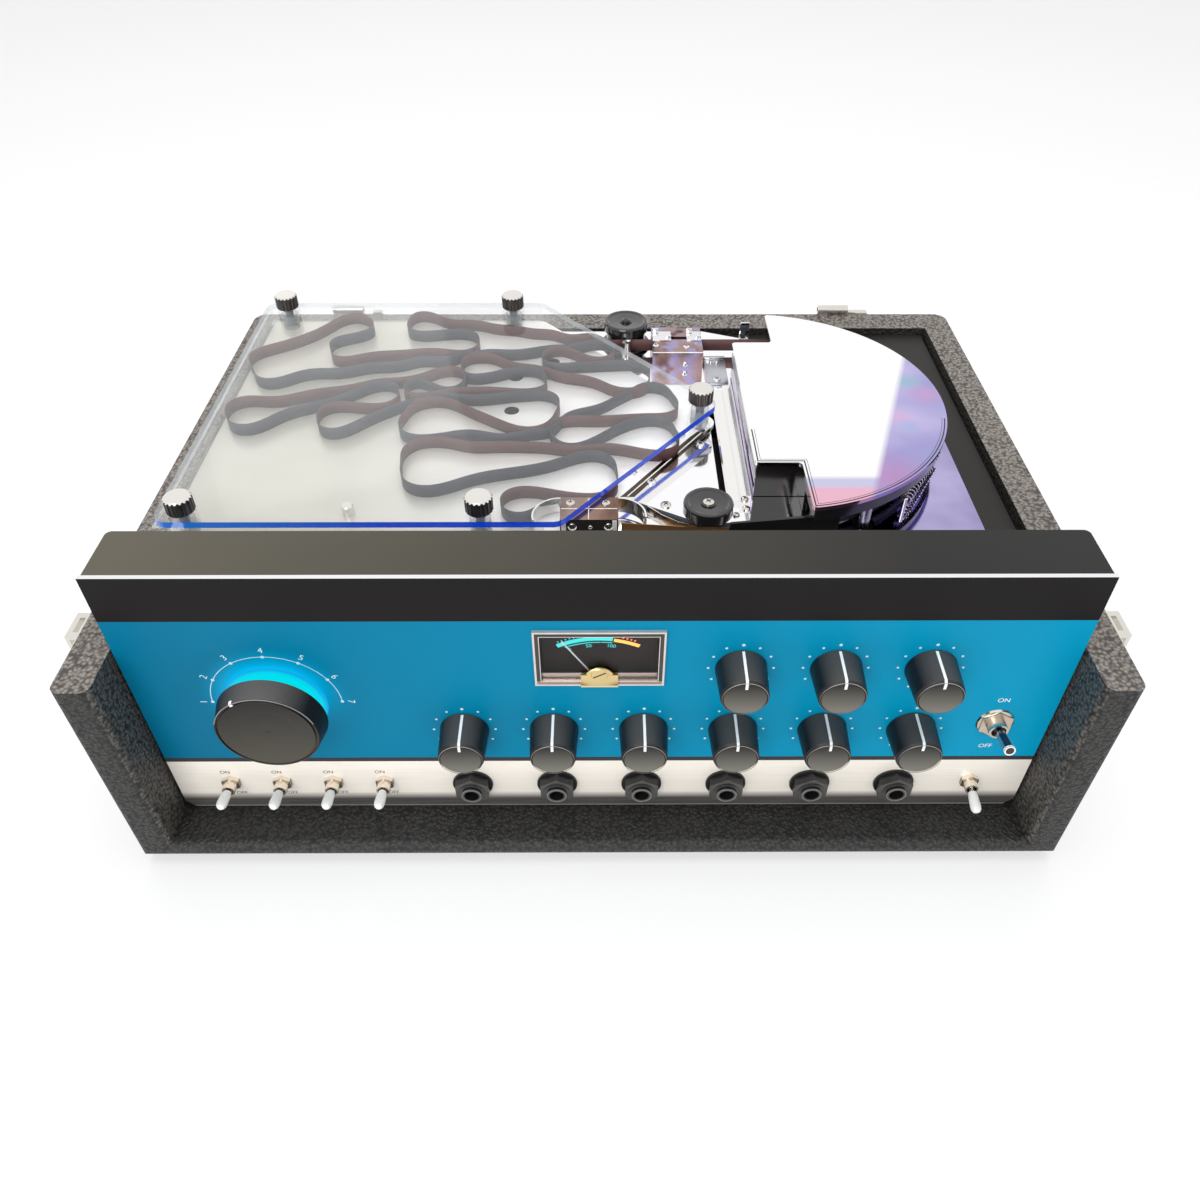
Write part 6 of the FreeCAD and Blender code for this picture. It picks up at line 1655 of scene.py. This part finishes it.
    def deck_screws(self) -> None:
        """Screws and plain pins that stand on the deck."""
        bm = bmesh.new()
        for x, y, r in ((60.4, -57.0, 1.6), (29.6, -49.6, 2.4), (65.4, -52.4, 1.8)):
            add_screw(bm, (x, y, DECK_Z), r, 1.2, "Z", 17.0 * x)
        add_lathe(bm, [(1.7, 0), (1.7, 9.5), (1.3, 10.2), (0, 10.2)], (15.2, 84.0, DECK_Z), "Z", 24)
        put(bm, "deck_screws", "cabinet", [self.finishes.nickel, self.finishes.print_black])

    def spring(self) -> None:
        """Open coil spring along the rim of the head bay."""
        (x0, y0), (x1, y1) = (polar(self.spring_radius, end) for end in self.spring_ends)
        span = math.hypot(x1 - x0, y1 - y0)
        heading = math.atan2(y1 - y0, x1 - x0)
        turns, steps = 17, 14
        bm = bmesh.new()
        ring = bmesh.ops.create_circle(bm, radius=0.45, segments=8)["verts"]
        turn_about(bm, ring, (0, 0, 0), "Y", 90)
        turn_about(bm, ring, (0, 0, 0), "Z", 90)
        shift(bm, (2.0, 0, 0), ring)
        edges = list(bm.edges)
        for _ in range(turns):
            grown = bmesh.ops.spin(bm, geom=edges, cent=(0, 0, 0), axis=(0, 1, 0), dvec=(0, span / turns / steps, 0),
                                   angle=2 * math.pi, steps=steps, use_merge=False)
            edges = [item for item in grown["geom_last"] if isinstance(item, bmesh.types.BMEdge)]
        turn_about(bm, bm.verts, (0, 0, 0), "Z", math.degrees(heading) - 90)
        shift(bm, (x0, y0, DECK_Z + 4.5))
        for x, y in ((x0, y0), (x1, y1)):
            add_lathe(bm, [(1.1, 0), (1.1, 6.4), (0.7, 6.8), (0, 6.8)], (x, y, DECK_Z), "Z", 20)
        piece = put(bm, "coil_spring", "cabinet", self.finishes.nickel)
        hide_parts("pinch_spring")


@dataclass
class Insides:
    """Pieces that stand inside the case."""

    finishes: Finishes
    belt_low: float = 98.6
    belt_tall: float = 6.0
    belt_thick: float = 1.2
    flywheel: tuple[float, float, float] = (115.79, -62.57, 36.9)
    pulley: tuple[float, float, float] = (52.0, 33.5, 8.9)

    def build(self) -> None:
        """Dress the hidden pieces."""
        f = self.finishes
        dress_nodes({"circuit_board": f.board, "power_transformer": f.iron, "reverb_tank": f.black_paint,
                     "drive_motor": f.brushed_z, "motor_pulley": f.brass})
        self.belt()

    def belt(self) -> None:
        """Flat rubber belt round the flywheel and the pulley, with eased edges."""
        (ax, ay, ar), (bx, by, br) = self.flywheel, self.pulley
        heading = math.degrees(math.atan2(by - ay, bx - ax))
        lean = math.degrees(math.acos((ar - br) / math.hypot(bx - ax, by - ay)))
        line = arc(ax, ay, ar, heading + lean, heading + 360 - lean, 64)
        line += arc(bx, by, br, heading - lean, heading + lean, 20)
        bm = bmesh.new()
        add_band(bm, line, self.belt_low, self.belt_tall)
        piece = put(bm, "flat_belt", "cabinet", self.finishes.belt)
        thicken(piece, self.belt_thick)
        ease = piece.modifiers.new("eased", "BEVEL")
        ease.width = 0.2 * MM
        ease.segments = 2
        ease.limit_method = "ANGLE"
        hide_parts("drive_belt")


# ------------------------------------------------------------------ studio
@dataclass
class Studio:
    """Pale floor, soft lamps and the camera."""

    eye: tuple[float, float, float] = (2.2, -395.7, 395.1)
    pitch: float = 0.744
    heading: float = 0.007
    roll: float = 0.003
    lens: float = 29.19
    shift: tuple[float, float] = (-0.00825, -0.0104)
    own_white: float = 0.6
    mirrored_white: float = 0.85
    ambient: float = 0.6

    def build(self) -> None:
        """Set the floor, world, lamps, camera and colour view."""
        self.floor()
        self.world()
        self.lamp("overhead", (0.0, 0.1, 1.6), (0.0, 0.0, 0.1), 1.6, 22.0, False)
        self.lamp("front_fill", (-0.5, -1.5, 0.9), (0.0, 0.0, 0.1), 1.0, 12.0)
        self.lamp("back_left", (-0.55, 1.3, 0.85), (0.0, 0.0, 0.12), 0.5, 0.2)
        self.camera()
        bpy.context.scene.view_settings.view_transform = "Standard"

    def floor(self) -> None:
        """White sweep under and behind the unit, plain white to the camera and in reflections."""
        bm = bmesh.new()
        bmesh.ops.create_grid(bm, x_segments=1, y_segments=1, size=4.0)
        mesh = bpy.data.meshes.new("studio_floor")
        bm.to_mesh(mesh)
        bm.free()
        floor = bpy.data.objects.new("studio_floor", mesh)
        bpy.context.scene.collection.objects.link(floor)
        g = Surface("studio_white")
        g.dress(Base_Color=(0.86, 0.86, 0.86), Roughness=0.8)
        seen = g.ray("Camera") * self.own_white
        seen = seen.math("MAXIMUM", g.ray("Glossy") * self.mirrored_white)
        seen = seen.math("MAXIMUM", g.ray("Transmission") * self.own_white)
        glow = g.node("ShaderNodeEmission", None, {"Color": WHITE, "Strength": 1.0})
        g.show(g.node("ShaderNodeMixShader", None, {0: seen, 1: Sock(g, g.shader.outputs[0]), 2: glow}))
        mesh.materials.append(g.owner)

    def world(self) -> None:
        """Even white light, seen as white by the camera and in reflections."""
        world = bpy.data.worlds.new("studio_world")
        bpy.context.scene.world = world
        g = Graph(world, "ShaderNodeOutputWorld")
        soft, seen = (g.node("ShaderNodeBackground", None, {"Color": WHITE, "Strength": strength})
                      for strength in (self.ambient, 1.0))
        direct = g.ray("Camera").math("ADD", g.ray("Glossy"), clamp=True)
        g.show(g.node("ShaderNodeMixShader", None, {0: direct, 1: soft, 2: seen}))

    def lamp(self, name: str, place: Sequence[float], aim: Sequence[float], size: float, power: float,
             mirrored: bool = True) -> None:
        """Soft square lamp that looks at a point, seen in polished metal or not."""
        data = bpy.data.lights.new(name, "AREA")
        data.size = size
        data.energy = power
        lamp = bpy.data.objects.new(name, data)
        lamp.location = place
        lamp.visible_glossy = mirrored
        lamp.rotation_euler = (Vector(aim) - Vector(place)).to_track_quat("-Z", "Y").to_euler()
        bpy.context.scene.collection.objects.link(lamp)

    def camera(self) -> None:
        """Camera above and in front of the unit, looking down at it."""
        data = bpy.data.cameras.new("studio_camera")
        data.sensor_width = 36.0
        data.lens = self.lens
        data.shift_x, data.shift_y = self.shift
        data.clip_start = 0.01
        camera = bpy.data.objects.new("studio_camera", data)
        turn = (Matrix.Rotation(-self.heading, 4, "Z") @ Matrix.Rotation(math.pi / 2 - self.pitch, 4, "X")
                @ Matrix.Rotation(self.roll, 4, "Z"))
        camera.matrix_world = Matrix.Translation(Vector(self.eye) * MM) @ turn
        bpy.context.scene.collection.objects.link(camera)
        bpy.context.scene.camera = camera


def main() -> None:
    """Build the unit's sub-assemblies in order and report each."""
    logging.basicConfig(level=logging.INFO, format="%(name)s: %(message)s")
    finishes = Finishes()
    for part in (Studio(), Cabinet(finishes), FrontPanel(finishes), MeterFace(finishes), Controls(finishes),
                 TapeRibbon(finishes), Tray(finishes), Transport(finishes), Insides(finishes)):
        part.build()
        LOG.info("built %s", type(part).__name__)


if __name__ == "__main__":
    main()
